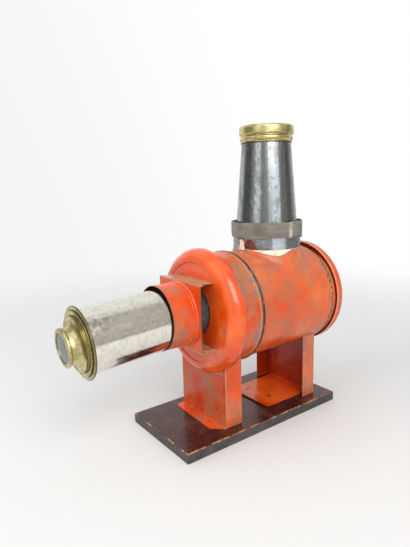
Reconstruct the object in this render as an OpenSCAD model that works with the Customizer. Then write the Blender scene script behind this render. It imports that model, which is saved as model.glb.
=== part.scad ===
// Toy projection lantern: a lacquered tin barrel on two folded feet and a wooden board.
// The lens looks to -Y, the photographed side faces +X, and +Z is up.
// The origin is the centre of the board's underside. All sizes are in millimetres.

/* [Base board] */
// Width of the board
board_w = 94; // [84:1:110]
// Length of the board
board_l = 190; // [180:1:215]
// Thickness of the board
board_t = 9.5; // [6:0.5:14]
// Chamfer along the board's top edges
board_chamfer = 0.8; // [0.3:0.1:1.5]

/* [Barrel] */
// Height of the barrel's axis above the table
axis_h = 115; // [108:1:125]
// From the board's front edge to the crest of the front plate
crest_setback = 43.5; // [38:0.5:48]
// Outer radius of the main shell
shell_r = 52.5; // [48:0.5:56]
// Thickness of the barrel's tin sheet
sheet_t = 0.6; // [0.4:0.1:0.8]
// Length of the front section, from the crest to the joint
front_len = 39.5; // [34:0.5:46]
// Length of the main shell behind the joint
shell_len = 109.5; // [100:0.5:122]
// How far the shell reaches into the front section
joint_lap = 10; // [6:0.5:14]
// Radial slip between the shell and the front section
joint_slip = 0.4; // [0.3:0.05:0.6]

/* [Front plate] */
// How far the pressed front plate stands out past the section behind it
plate_over = 6; // [4.5:0.5:9]
// Radius of the plate's rounded rim
rim_round = 10.5; // [7:0.5:12]
// How far the flat disc lies behind the rim's crest
disc_recess = 1.2; // [0.6:0.1:2]
// Depth of the front plate, crest to back edge
plate_depth = 12; // [12:0.5:15]
// Radius of the light opening in the disc
gate_r = 23.5; // [22.5:0.5:26]

/* [Joint band] */
// Width of the dark bead over the joint
band_w = 2.4; // [1.6:0.1:3.4]
// How far the bead stands above the shell
band_rise = 1.7; // [1.2:0.1:2.2]

/* [Feet] */
// How far the feet's flanges stand outside the edges of the lamp floor above them
foot_spread = 0.6; // [-2:0.2:6]
// Thickness of the feet's tin sheet
foot_t = 0.8; // [0.5:0.1:1.2]
// From the crest of the front plate back to the front foot's wall
front_foot_set = 8; // [7:0.5:10]
// Depth of the front foot's flanges
front_foot_d = 19; // [14:0.5:24]
// Length of the lip that the front foot turns forward
lip_len = 12; // [9:0.5:16]
// From the shell's rear end forward to the back of the rear foot
rear_foot_set = 21; // [16:0.2:28]
// Depth of the rear foot's flanges
rear_foot_d = 17; // [12:0.5:22]
// Length of the floor tab that the rear foot turns forward
tab_len = 63; // [50:1:70]
// Width of the floor tab
tab_w = 56.6; // [46:0.2:60]
// How far the tab's front edge curls up
tab_curl = 1; // [0.4:0.1:2]
// Radius of a nail's head
nail_head_r = 2.4; // [1.8:0.1:3]
// Radius of a nail's shank
nail_r = 0.8; // [0.6:0.1:1]
// Length of a nail below the sheet
nail_len = 6; // [4:0.5:7]

/* [Slide stage] */
// Width of the stage's front plate
stage_w = 65.8; // [62:0.2:72]
// Clear height between the stage's walls, for a 60 mm slide
stage_gap = 60; // [59:0.5:64]
// From the front plate's crest forward to the stage plate's face
stage_d = 15.4; // [12:0.2:20]
// How far the optical axis lies above the barrel's axis
stage_rise = 2.4; // [0:0.2:4]
// Radius of the hole in the stage's plate
stage_hole_r = 26; // [24:0.5:26.5]

/* [Lens collar] */
// Length of the collar in front of the stage
collar_len = 25.2; // [20:0.2:32]
// Radial play of the lens tube in the collar
collar_play = 1.65; // [1.2:0.05:2]
// Radius of the bead at the collar's root
collar_bead = 1.8; // [1:0.1:2.2]

/* [Lens tube] */
// Outer radius of the nickelled tube
tube_r = 27.1; // [26.8:0.1:27.4]
// Thickness of the tube's wall
tube_t = 0.5; // [0.4:0.1:0.8]
// Length of the tube in front of the collar's mouth
tube_out = 69.8; // [58:0.2:80]
// Length of the tube inside the collar
tube_in = 14.5; // [12:0.5:15]
// Angle at which the loose tube hangs down at its front
tube_droop = 4; // [2:0.5:4.5]
// Radius of the brass mount's flange
mount_r = 30.9; // [30:0.1:34]
// Length of the brass mount in front of the tube
mount_len = 12.4; // [11:0.2:15]
// Radius of the lens cell
cell_r = 16.3; // [15.5:0.1:17.5]
// Length of the lens cell
cell_len = 3.4; // [3:0.1:4.5]
// From the tube's inner end forward to the rear lens
rear_lens_set = 6.5; // [6:0.5:8]
// Edge thickness of the rear lens
rear_lens_edge = 2.4; // [1.8:0.1:3]
// Bulge of the rear lens
rear_lens_bulge = 4; // [3:0.5:6]

/* [Condenser] */
// Radius of the condenser lens
condenser_r = 22; // [20:0.5:22]
// Bulge of the condenser lens
condenser_bulge = 6; // [4:0.5:8]
// Edge thickness of the condenser lens
condenser_edge = 2; // [1.5:0.1:3]
// Depth of the cell that holds the condenser lens
condenser_cell_d = 9; // [7:0.5:12]

/* [Chimney] */
// From the joint back to the chimney's axis
chimney_set = 54; // [48:0.5:60]
// Height of the socket's lower edge above the barrel's axis
socket_base = 53.7; // [53.7:0.1:58]
// Outer radius of the chimney's socket
socket_r = 34; // [33:0.1:36]
// Length of the socket
socket_len = 22; // [18:0.5:26]
// Thickness of the chimney's sheet
chimney_t = 0.5; // [0.4:0.1:0.7]
// Height of the tapered flue
flue_len = 97.4; // [80:0.2:115]
// Outer radius of the flue at its top
flue_top_r = 24.3; // [21:0.1:25]
// Width of the flue's lapped seam
seam_w = 9; // [6:0.5:12]
// Radius of the dark rim at the flue's top
rim_r = 25; // [24.9:0.1:28]
// Outer radius of the brass crown
crown_r = 26.7; // [25:0.1:29]
// Height of the brass crown
crown_h = 15.7; // [13:0.1:19]
// Height of the strap round the socket
strap_h = 17; // [12:0.5:18]
// Thickness of the strap
strap_t = 1.2; // [0.8:0.1:1.6]
// How far below the shell's top the neck ends its flare
neck_drop = 2.5; // [1.5:0.1:5]
// How much lower the neck's saddle-shaped rim lies at the barrel's sides
neck_saddle = 7.3; // [0.5:0.1:8]

/* [Packing paper] */
// Wall of the paper roll in the neck
paper_t = 1.6; // [1:0.1:2.4]
// Length of the paper roll
paper_len = 16; // [12:0.5:22]
// Width of the torn tongue in the socket's slit
tongue_w = 6.2; // [4:0.2:8]
// How far the tongue reaches above the socket's lower edge
tongue_h = 9.4; // [6:0.2:9.8]

/* [Rear cap] */
// Gap between the shell and the cap's skirt
cap_gap = 0.9; // [0.4:0.05:0.95]
// Depth of the cap over the shell
cap_depth = 9.2; // [7:0.2:13]
// Radius of the cap's rounded edge
cap_round = 3.5; // [2:0.5:5]
// Number of air holes in the cap
air_holes = 8; // [6:1:12]
// Radius of an air hole
air_hole_r = 3.4; // [2.5:0.1:4.5]
// Radius of the ring of air holes
air_ring_r = 41; // [39:0.5:43]

/* [Reflector] */
// Radius of the reflector's mouth
mirror_r = 30; // [24:0.5:33]
// Radius of the reflector's sphere
mirror_sphere = 55; // [45:1:70]
// From the cap's back forward to the reflector's mouth
mirror_set = 27; // [22:0.5:30]

/* [Lamp] */
// Height of the lamp floor above the lowest line of the shell
floor_rise = 14.5; // [12:0.5:18]
// Length of the lamp floor
floor_len = 74; // [60:1:80]
// Radius of the oil reservoir
tank_r = 22; // [18:0.5:26]
// Height of the oil reservoir
tank_h = 16; // [14:0.5:17]
// Outer radius of the burner
burner_r = 9.5; // [9:0.1:11]
// Height of the burner
burner_h = 9; // [8.5:0.1:10]
// Width of the flat wick
wick_w = 11.6; // [9:0.2:12.4]
// Thickness of the flat wick
wick_t = 2.2; // [1.6:0.1:2.6]
// Length of wick below the burner
wick_tail = 9; // [6:0.5:12]
// Height of the wick's tip above the wick tube
wick_up = 2; // [1.8:0.1:3]
// Radius of the spindle that winds the wick
spindle_r = 1.2; // [0.9:0.1:1.4]
// Radius of the spindle's knob
knob_r = 4.5; // [3.5:0.1:4.8]
// Radius of the lamp glass at its base
glass_r = 14.6; // [13.6:0.1:16]
// Length of the lamp glass
glass_len = 58; // [50:1:66]
// Height of the gallery that holds the lamp glass
gallery_h = 5; // [4:0.5:7]

/* [Hidden] */
$fn = 96;

// Clearances
seat = 0.1;          // soldered seats and pieces that lie against each other
slide_gap = 0.3;     // pieces on different bodies
cut = 1;             // how far a cutter runs past what it cuts

// Stations along the barrel
crest_y = -board_l / 2 + crest_setback;
joint_y = crest_y + front_len;
shell_end = joint_y + shell_len;
chimney_y = joint_y + chimney_set;
disc_y = crest_y + disc_recess;
plate_back = crest_y + plate_depth;
front_r = shell_r + joint_slip + sheet_t;
plate_r = front_r + plate_over;
crest_r = plate_r - rim_round;
band_r = shell_r + band_rise;

// Lamp floor, a chord of the barrel
shell_bore = shell_r - sheet_t;
floor_drop = shell_r - floor_rise;
floor_z = axis_h - floor_drop;
floor_half = sqrt(shell_bore * shell_bore - pow(floor_drop + sheet_t, 2)) - seat;

// Feet
foot_w = 2 * (floor_half + foot_spread);
front_wall_y = crest_y + front_foot_set;
rear_wall_y = shell_end - rear_foot_set;
tab_front_y = rear_wall_y - tab_len;
// Where the nails go through: two in the floor tab, two in the front lip
tab_nails = [[-17.5, tab_front_y + 14], [12, tab_front_y + 19.5]];
lip_nails = [[-16, front_wall_y - lip_len / 2], [16, front_wall_y - lip_len / 2]];

// Optical axis, stage and collar
optic_h = axis_h + stage_rise;
stage_y = crest_y - stage_d;
stage_half = stage_gap / 2 + sheet_t;
wall_back = disc_y - seat / 2;
collar_mouth = stage_y - collar_len;
collar_bore = tube_r + collar_play;
collar_r = collar_bore + sheet_t;
tube_drop = collar_play - 0.2;

// Lens tube, measured along its own axis from the collar's mouth
tube_bore = tube_r - tube_t;
mount_y = -tube_out;
cell_y = mount_y - mount_len;
step_1 = mount_r - 3.3;
step_2 = mount_r - 7.3;
neck_r = cell_r - 2.1;
light_r = neck_r - 1.6;
lens_r = cell_r - 2.4;
glass_show = lens_r - 1.3;
rear_lens_r = tube_bore - seat;
rear_lens_y = tube_in - rear_lens_set;
spring_wire_r = 0.8;

// Condenser
cell_front = disc_y + sheet_t;
condenser_y = cell_front + sheet_t + 0.5;
condenser_bore = condenser_r + seat;
condenser_back = condenser_y + condenser_edge;

// Chimney
socket_z = axis_h + socket_base;
socket_bore = socket_r - chimney_t;
socket_top = socket_z + socket_len;
strap_z = socket_z + 10.4;
strap_r = socket_r + 0.05;
slit_w = tongue_w + 2.2;
paper_r = socket_bore - slide_gap;
paper_top = socket_z + 3.5;
flue_z = paper_top + seat;
flue_base_r = socket_bore - 1.6;
flue_top = flue_z + flue_len;
neck_z = axis_h + shell_r - neck_drop;
neck_bore = paper_r + 0.2;
neck_outer = neck_bore + sheet_t;
neck_top = socket_z - slide_gap - seat;
saddle_r = (neck_outer * neck_outer + neck_saddle * neck_saddle) / (2 * neck_saddle);
crown_z = flue_top + 1.2;

// Rear cap and reflector
cap_bore = shell_r + cap_gap;
cap_r = cap_bore + sheet_t;
// the shell's end stops where it would meet the cap's rounded corner
cap_bend = cap_round - sheet_t;
cap_bend_reach = max(0, shell_r - cap_r + cap_round);
cap_inner = shell_end + slide_gap + cap_bend - sqrt(cap_bend * cap_bend - cap_bend_reach * cap_bend_reach);
cap_back = cap_inner + sheet_t;
mirror_y = cap_back - mirror_set;
mirror_t = 0.5;
mirror_sag = mirror_sphere - sqrt(mirror_sphere * mirror_sphere - mirror_r * mirror_r);

// Lamp
tank_z = floor_z;
tank_round = 4;
burner_z = tank_z + tank_h;
burner_top = burner_z + burner_h;
wick_tube_t = 0.5;
wick_slack = 0.2;
tube_half_x = wick_w / 2 + wick_slack + wick_tube_t;
tube_half_y = wick_t / 2 + wick_slack + wick_tube_t;
wick_tube_top = burner_top + 6;
spindle_z = burner_z + 5;
wheel_r = 2.9;
spindle_off = wick_t / 2 + 0.2 + wheel_r;
gallery_r = glass_r + 1;

// Frames: a profile drawn as [radius, station] is turned about the named axis

module on_barrel() { translate([0, 0, axis_h]) rotate([-90, 0, 0]) children(); }
module on_optics() { translate([0, 0, optic_h]) rotate([-90, 0, 0]) children(); }
module on_lens_tube() {
    translate([0, collar_mouth, optic_h - tube_drop]) rotate([tube_droop - 90, 0, 0]) children();
}
module on_chimney() { translate([0, chimney_y, 0]) children(); }
// The flat wick stands edge-on to the lens, so the lamp's local X runs toward the rear cap
module on_lamp() { translate([0, chimney_y, 0]) rotate([0, 0, 90]) children(); }

// A ring with square edges between two radii and two stations
module ring(inner, outer, from, to) {
    rotate_extrude() translate([inner, from]) square([outer - inner, to - from]);
}

// A lens blank: a disc with a flat rim and a dome of the given bulge on its front
module lens(r, edge, dome_r, bulge) {
    sphere_r = (dome_r * dome_r + bulge * bulge) / (2 * bulge);
    rotate_extrude() {
        square([r, edge]);
        intersection() {
            translate([0, sphere_r - bulge]) circle(sphere_r, $fn = 360);
            translate([0, -bulge]) square([dome_r, bulge + edge / 2]);
        }
    }
}

// Base board: a plank with its four top edges chamfered

module board_section(width) {
    polygon([[-width / 2, 0], [width / 2, 0], [width / 2, board_t - board_chamfer],
        [width / 2 - board_chamfer, board_t], [-width / 2 + board_chamfer, board_t],
        [-width / 2, board_t - board_chamfer]]);
}
module base_board() color([0.23, 0.08, 0.07]) difference() {
    intersection() {
        translate([0, board_l / 2, 0]) rotate([90, 0, 0]) linear_extrude(board_l) board_section(board_w);
        translate([-board_w / 2, 0, 0]) rotate([90, 0, 90]) linear_extrude(board_w) board_section(board_l);
    }
    for (p = concat(tab_nails, lip_nails))
        translate([p[0], p[1], board_t - nail_len - 0.3])
            cylinder(r = nail_r + 0.02, h = nail_len + cut);
}

// Feet: sheet channels, saddle-cut to the barrel that they carry

module channel(wall_y, depth, side) {
    height = axis_h - board_t;
    translate([0, 0, board_t]) linear_extrude(height) difference() {
        translate([-foot_w / 2, side > 0 ? wall_y : wall_y - depth]) square([foot_w, depth]);
        translate([-foot_w / 2 + foot_t, side > 0 ? wall_y + foot_t : wall_y - depth - cut])
            square([foot_w - 2 * foot_t, depth - foot_t + cut]);
    }
}
module nail_holes(places) {
    for (p = places) translate([p[0], p[1], board_t - cut]) cylinder(r = nail_r + 0.02, h = foot_t + 2 * cut);
}
module front_foot() color([0.84, 0.25, 0.12]) difference() {
    union() {
        channel(front_wall_y, front_foot_d, 1);
        translate([0, front_wall_y, board_t]) linear_extrude(foot_t)
            polygon([[-foot_w / 2, foot_t], [-foot_w / 2, -0.45 * lip_len], [-foot_w / 2 + 1.2, -0.68 * lip_len],
                [-foot_w / 2 + 4, -0.82 * lip_len], [foot_w / 2 - 9.8, -lip_len],
                [foot_w / 2 - 4, -0.42 * lip_len], [foot_w / 2, -0.17 * lip_len], [foot_w / 2, foot_t]]);
    }
    on_barrel() {
        translate([0, 0, crest_y - cut]) cylinder(r = plate_r + seat, h = plate_depth + cut + seat);
        translate([0, 0, plate_back]) cylinder(r = front_r + seat, h = front_foot_d);
    }
    nail_holes(lip_nails);
}
module rear_foot() color([0.84, 0.25, 0.12]) difference() {
    union() {
        channel(rear_wall_y, rear_foot_d, -1);
        translate([-tab_w / 2, 0, 0]) rotate([90, 0, 90]) linear_extrude(tab_w)
            polygon([[rear_wall_y, board_t], [tab_front_y + 12, board_t],
                [tab_front_y, board_t + tab_curl], [tab_front_y, board_t + tab_curl + foot_t],
                [tab_front_y + 12, board_t + foot_t], [rear_wall_y, board_t + foot_t]]);
    }
    on_barrel() translate([0, 0, joint_y + band_w]) cylinder(r = shell_r + seat, h = shell_len);
    nail_holes(tab_nails);
}
module nail() {
    translate([0, 0, -nail_len - foot_t]) cylinder(r = nail_r, h = nail_len + foot_t + 0.2);
    rotate_extrude() intersection() {
        translate([0, 1 - nail_head_r * 1.6]) circle(nail_head_r * 1.6);
        square([nail_head_r, 1]);
    }
}
module foot_nails() color([0.62, 0.6, 0.56])
    for (p = concat(tab_nails, lip_nails)) translate([p[0], p[1], board_t + foot_t]) nail();

// Barrel: front plate, front section, joint bead and main shell

module rim_region(inset) {
    nose = 2.5;
    intersection() {
        translate([crest_r, rim_round]) circle(rim_round - inset);
        translate([crest_r, 0]) square([rim_round, rim_round]);
    }
    translate([crest_r, nose]) circle(nose - inset);
    translate([crest_r, rim_round - cut]) square([rim_round - inset, plate_depth - rim_round + cut - inset]);
    translate([0, disc_recess + inset]) square([crest_r, plate_depth - disc_recess - 2 * inset]);
    translate([0, nose]) square([crest_r + 0.1, plate_depth - nose - inset]);
}
module front_bezel() color([0.88, 0.29, 0.13]) difference() {
    on_barrel() translate([0, 0, crest_y]) rotate_extrude() difference() {
        rim_region(0);
        rim_region(sheet_t);
        translate([0, disc_recess + sheet_t]) square([front_r + seat, plate_depth]);
    }
    on_optics() translate([0, 0, crest_y - cut]) cylinder(r = gate_r, h = plate_depth);
}
module front_section() color([0.82, 0.3, 0.17]) on_barrel() rotate_extrude() {
    translate([front_r - sheet_t, disc_y + sheet_t + seat])
        square([sheet_t, joint_y - band_w / 2 - disc_y - sheet_t - 2 * seat]);
    translate([front_r, joint_y - band_w / 2 - 0.6 - seat]) circle(0.6);
}
module joint_band() color([0.13, 0.12, 0.12]) on_barrel() rotate_extrude() difference() {
    union() {
        translate([band_r - band_w / 2, joint_y]) circle(band_w / 2);
        translate([shell_r + seat, joint_y - band_w / 2])
            square([max(0.1, band_rise - band_w / 2 - seat), band_w]);
    }
    translate([0, joint_y - band_w]) square([shell_r + seat, 2 * band_w]);
}
// The neck: a flare drawn up out of the shell, ending in a saddle that dips toward the barrel's sides
module neck_flare(radius) {
    spread = 5.5;
    rise = 15;
    translate([0, 0, neck_z - rise]) cylinder(r1 = radius + spread, r2 = radius, h = rise + 0.01);
    translate([0, 0, neck_z]) cylinder(r = radius, h = neck_top + cut - neck_z);
}
module body_shell() color([0.83, 0.31, 0.18]) difference() {
    union() {
        on_barrel() translate([0, 0, joint_y - joint_lap]) cylinder(r = shell_r, h = shell_len + joint_lap);
        on_chimney() intersection() {
            neck_flare(neck_outer);
            translate([0, -2 * neck_outer, neck_top - saddle_r]) rotate([-90, 0, 0])
                cylinder(r = saddle_r, h = 4 * neck_outer);
        }
    }
    on_barrel() translate([0, 0, joint_y - joint_lap - cut])
        cylinder(r = shell_bore, h = shell_len + joint_lap + 2 * cut);
    on_chimney() translate([0, 0, -0.01]) neck_flare(neck_bore);
}

// Slide stage and lens collar

module stage_wall() {
    back = wall_back - stage_y;
    half = stage_w / 2;
    linear_extrude(sheet_t) polygon([[-half, 0], [half, 0], [half, 3.5], [half - 5.4, 4.5], [half - 5.4, 7.5],
        [half - 3.7, 8], [half - 3.7, back], [-half + 3.7, back], [-half + 3.7, 8], [-half + 5.4, 7.5],
        [-half + 5.4, 4.5], [-half, 3.5]]);
}
module slide_stage() color([0.85, 0.27, 0.13]) {
    difference() {
        translate([-stage_w / 2, stage_y, optic_h - stage_half]) cube([stage_w, sheet_t, 2 * stage_half]);
        on_optics() translate([0, 0, stage_y - cut]) cylinder(r = stage_hole_r, h = sheet_t + 2 * cut);
    }
    for (z = [optic_h - stage_half, optic_h + stage_half - sheet_t]) translate([0, stage_y, z]) stage_wall();
}
module lens_collar() color([0.87, 0.33, 0.18]) on_optics() rotate_extrude() {
    translate([collar_bore, collar_mouth]) square([sheet_t, collar_len - seat]);
    translate([collar_r, stage_y - 4]) circle(collar_bead / 2);
    difference() {
        translate([collar_bore, stage_y - seat - 2.4]) square([sheet_t + 1.2, 2.4]);
        translate([collar_r + 2.4, stage_y - seat - 2.4]) circle(2.4);
    }
}

// Condenser: a tin cell soldered behind the disc, the lens, and the spring ring behind it

module condenser_cell() color([0.45, 0.43, 0.4]) on_optics() rotate_extrude() difference() {
    translate([condenser_r - 0.8, cell_front + seat])
        square([gate_r + 4 - condenser_r + 0.8, condenser_cell_d]);
    translate([condenser_r - 2, condenser_y - seat]) square([2 + seat, condenser_cell_d + cut]);
    translate([condenser_bore + sheet_t, cell_front + seat + sheet_t])
        square([gate_r + 6, condenser_cell_d + cut]);
}
module condenser_lens() color([0.75, 0.8, 0.8, 0.5]) on_optics() translate([0, 0, condenser_y])
    lens(condenser_r, condenser_edge, condenser_r - 1, condenser_bulge);
module condenser_ring() color([0.6, 0.58, 0.52]) on_optics() rotate_extrude()
    translate([condenser_bore - 0.8, condenser_back + 0.8]) circle(0.7);

// Lens tube with its brass mount, lens cell and lenses

module lens_tube() color([0.78, 0.75, 0.68]) on_lens_tube() ring(tube_bore, tube_r, mount_y + seat, tube_in);
module lens_mount() color([0.75, 0.62, 0.28]) on_lens_tube() rotate_extrude() difference() {
    concave = step_2 - neck_r - 2.2;
    union() {
        translate([0, mount_y - 1.8]) square([mount_r - 0.7, 1.8]);
        translate([mount_r - 0.9, mount_y - 0.9]) circle(0.9);
        translate([0, mount_y - 3.2]) square([step_1 - 0.9, 1.6]);
        translate([step_1 - 0.9, mount_y - 2.4]) circle(0.9);
        translate([0, mount_y - 5.9]) square([step_2 - 0.9, 3]);
        translate([step_2 - 0.9, mount_y - 5]) circle(0.9);
        translate([0, cell_y]) square([neck_r + concave, mount_len - 5]);
        translate([tube_bore - 1.5, mount_y - 0.5]) square([1.5 - seat / 2, 4.5]);
    }
    translate([neck_r + concave, cell_y]) circle(concave);
    translate([0, cell_y - cut]) square([light_r, mount_len + cut]);
    translate([0, mount_y - 4.5]) square([step_2 - 2.2, 12]);
    translate([0, mount_y - 0.9]) square([tube_bore - 1.5, 12]);
}
module lens_cell() color([0.7, 0.58, 0.27]) on_lens_tube() translate([0, 0, cell_y - cell_len - seat / 2])
    rotate_extrude() difference() {
        union() {
            square([cell_r - cell_len / 2, cell_len]);
            translate([cell_r - cell_len / 2, cell_len / 2]) circle(cell_len / 2);
        }
        translate([0, -cut]) square([glass_show, 2 * cut]);
        translate([0, 0.6]) square([lens_r + 0.05, cell_len]);
    }
module front_lens() color([0.55, 0.55, 0.62, 0.6]) on_lens_tube()
    translate([0, 0, cell_y - cell_len - seat / 2 + 0.65])
        lens(lens_r, cell_len - 0.7, glass_show - 0.2, 0.5);
module rear_lens() color([0.75, 0.8, 0.8, 0.5]) on_lens_tube() translate([0, 0, rear_lens_y])
    lens(rear_lens_r, rear_lens_edge, rear_lens_r - 2 * spring_wire_r - seat, rear_lens_bulge);
module rear_lens_rings() color([0.6, 0.58, 0.52]) on_lens_tube() rotate_extrude()
    for (y = [rear_lens_y - spring_wire_r - seat, rear_lens_y + rear_lens_edge + spring_wire_r + seat])
        translate([tube_bore - spring_wire_r - seat / 2, y]) circle(spring_wire_r);

// Chimney: socket, tapered flue with a lapped seam, rim, brass crown and the strap round the joint

module chimney_socket() color([0.3, 0.32, 0.36]) on_chimney() difference() {
    ring(socket_bore, socket_r, socket_z, socket_top);
    translate([-slit_w / 2, -socket_r - cut, socket_z - cut])
        cube([slit_w, socket_r, socket_len + 2 * cut]);
}
module flue_wall(grow) {
    // the foot turns outward and rests on the paper roll inside the socket
    rotate_extrude() polygon([[flue_base_r - chimney_t, flue_z], [socket_bore - seat, flue_z],
        [socket_bore - seat, flue_z + chimney_t], [flue_base_r + grow, flue_z + chimney_t],
        [flue_top_r + grow, flue_top], [flue_top_r - chimney_t, flue_top]]);
}
module chimney_flue() color([0.33, 0.35, 0.38]) on_chimney() {
    difference() {
        flue_wall(0);
        // the foot is notched at the slit, where the paper's tongue comes out
        translate([-slit_w / 2, -socket_r, flue_z - cut])
            cube([slit_w, socket_r - flue_base_r - seat, chimney_t + 2 * cut]);
    }
    seam_low = strap_z + strap_h - flue_z + 0.5;
    intersection() {
        flue_wall(0.5);
        translate([-seam_w, -flue_base_r - 2, flue_z + seam_low])
            cube([seam_w, flue_base_r + 2, flue_len - seam_low - 0.6]);
    }
}
module chimney_rim() color([0.15, 0.15, 0.15]) on_chimney() rotate_extrude() {
    translate([flue_top_r - chimney_t, flue_top + seat / 2]) square([rim_r - 0.5 - flue_top_r + chimney_t, 1]);
    translate([rim_r - 0.5, flue_top + seat / 2 + 0.5]) circle(0.5);
}
module chimney_crown() color([0.78, 0.66, 0.3]) on_chimney() translate([0, 0, crown_z]) rotate_extrude() {
    bead = crown_h * 0.21;
    waist = 2 * bead + 0.4;
    top_round = 2.6;
    difference() {
        union() {
            translate([crown_r - 0.7 - bead, bead]) circle(bead);
            square([crown_r - 1.8, waist + 1]);
            translate([0, waist]) square([crown_r - 0.9, crown_h - waist - top_round]);
            translate([0, waist + 0.9]) square([crown_r, crown_h - waist - top_round - 0.9]);
            translate([crown_r - 0.9, waist + 0.9]) circle(0.9);
            translate([crown_r - top_round, crown_h - top_round]) circle(top_round);
            translate([0, crown_h - 2 * top_round]) square([crown_r - top_round, 2 * top_round]);
        }
        translate([0, -cut]) square([flue_top_r - 1.2, crown_h + cut - 0.6]);
        translate([0, -cut]) square([flue_top_r - 2.6, crown_h + 2 * cut]);
    }
}
module chimney_strap() color([0.48, 0.46, 0.43]) on_chimney() {
    ring(strap_r, strap_r + strap_t, strap_z, strap_z + strap_h);
    // the outer end of the strap laps over itself
    rotate([0, 0, 8]) rotate_extrude(angle = 52)
        translate([strap_r + strap_t - 0.1, strap_z + 0.4]) square([0.9, strap_h - 0.2]);
}
module packing_paper() color([0.93, 0.88, 0.72]) on_chimney() {
    ring(paper_r - paper_t, paper_r, paper_top - paper_len, paper_top);
    // a torn tongue starts over the neck's rim and stands up in the socket's slit
    intersection() {
        ring(paper_r - seat, socket_r - seat, neck_top + seat, socket_z + tongue_h);
        translate([-tongue_w / 2, -socket_r - cut, neck_top - cut])
            cube([tongue_w, socket_r / 2, tongue_h + 3 * cut]);
    }
}

// Rear cap with its reflector

module cap_region(inset) {
    translate([cap_r - cap_round, cap_depth + sheet_t - cap_round]) intersection() {
        circle(cap_round - inset);
        square(cap_round);
    }
    square([cap_r - cap_round, cap_depth + sheet_t - inset]);
    square([cap_r - inset, cap_depth + sheet_t - cap_round]);
}
module rear_cap() color([0.86, 0.3, 0.16]) on_barrel() difference() {
    translate([0, 0, cap_inner - cap_depth]) rotate_extrude() difference() {
        cap_region(0);
        translate([0, -0.01]) cap_region(sheet_t);
    }
    for (i = [0 : air_holes - 1]) rotate([0, 0, i * 360 / air_holes])
        translate([air_ring_r, 0, cap_inner - cut]) cylinder(r = air_hole_r, h = sheet_t + 2 * cut);
    translate([0, 0, cap_inner - cut]) cylinder(r = 1.6, h = sheet_t + 2 * cut);
}
module reflector() color([0.8, 0.8, 0.8]) on_barrel() translate([0, 0, mirror_y]) rotate_extrude()
    difference() {
        intersection() {
            translate([0, mirror_sag - mirror_sphere + mirror_t]) circle(mirror_sphere, $fn = 180);
            square([mirror_r, mirror_sag + mirror_t]);
        }
        translate([0, mirror_sag - mirror_sphere]) circle(mirror_sphere, $fn = 180);
        square([1.6, mirror_sag + 3 * cut]);
    }
module reflector_stud() color([0.6, 0.6, 0.58]) on_barrel() {
    mirror_back = mirror_y + mirror_sag + mirror_t;
    translate([0, 0, mirror_back + seat]) cylinder(r = 3, h = cap_inner - mirror_back - 2 * seat);
    translate([0, 0, mirror_y + mirror_sag - 0.9]) cylinder(r = 1.5, h = cap_back - mirror_y - mirror_sag + 1.4);
    translate([0, 0, cap_back + seat]) cylinder(r = 3.6, h = 1);
    translate([0, 0, mirror_y + mirror_sag - 0.9]) cylinder(r = 2.6, h = 0.7);
}

// Oil lamp: floor, tank, burner, wick and glass

module lamp_floor() color([0.5, 0.47, 0.43])
    translate([-floor_half, chimney_y - floor_len / 2, floor_z - sheet_t])
        cube([2 * floor_half, floor_len, sheet_t]);
module lamp_tank() color([0.72, 0.6, 0.28]) on_chimney() translate([0, 0, tank_z]) difference() {
    rotate_extrude() difference() {
        union() {
            square([tank_r, tank_h - tank_round]);
            translate([tank_r - tank_round, tank_h - tank_round]) circle(tank_round);
            square([tank_r - tank_round, tank_h]);
        }
        translate([0, sheet_t]) square([tank_r - sheet_t, tank_h - tank_round - sheet_t]);
        translate([tank_r - tank_round, tank_h - tank_round]) circle(tank_round - sheet_t);
        translate([0, sheet_t]) square([tank_r - tank_round, tank_h - 2 * sheet_t]);
    }
    translate([0, 0, tank_h - 2]) cylinder(r = burner_r - 1.2, h = 3);
}
module filler_cap() color([0.72, 0.6, 0.28]) on_lamp()
    translate([-(burner_r + tank_r - 3.5) / 2, 0, burner_z]) {
        cylinder(r = 2.6, h = 1.4);
        translate([0, 0, 1.4]) cylinder(r = 3.3, h = 2.2);
    }
module burner() color([0.76, 0.64, 0.3]) on_lamp() difference() {
    translate([0, 0, burner_z]) cylinder(r = burner_r, h = burner_h);
    translate([0, 0, burner_z + sheet_t]) cylinder(r = burner_r - sheet_t, h = burner_h - 2 * sheet_t);
    translate([-tube_half_x - 0.1, -tube_half_y - 0.1, burner_z - cut])
        cube([2 * tube_half_x + 0.2, 2 * tube_half_y + 0.2, burner_h + 2 * cut]);
    translate([-burner_r - cut, spindle_off, spindle_z]) rotate([0, 90, 0])
        cylinder(r = spindle_r + 0.08, h = 2 * burner_r + 2 * cut);
}
module wick_tube() color([0.7, 0.58, 0.27]) on_lamp() {
    low = burner_z - 4;
    difference() {
        translate([-tube_half_x, -tube_half_y, low]) cube([2 * tube_half_x, 2 * tube_half_y, wick_tube_top - low]);
        translate([-wick_w / 2 - wick_slack, -wick_t / 2 - wick_slack, low - cut])
            cube([wick_w + 2 * wick_slack, wick_t + 2 * wick_slack, wick_tube_top - low + 2 * cut]);
        translate([-4.4, 0, spindle_z - wheel_r - 0.6]) cube([8.8, tube_half_y + cut, 2 * wheel_r + 1.2]);
    }
}
module wick() color([0.85, 0.8, 0.68]) on_lamp()
    translate([-wick_w / 2, -wick_t / 2, burner_z - wick_tail])
        cube([wick_w, wick_t, wick_tube_top + wick_up - burner_z + wick_tail]);
module star_wheel() {
    teeth = 8;
    linear_extrude(1.4) polygon([for (i = [0 : 2 * teeth - 1])
        let (r = i % 2 == 0 ? wheel_r : wheel_r * 0.68, a = i * 180 / teeth) [r * cos(a), r * sin(a)]]);
}
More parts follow.
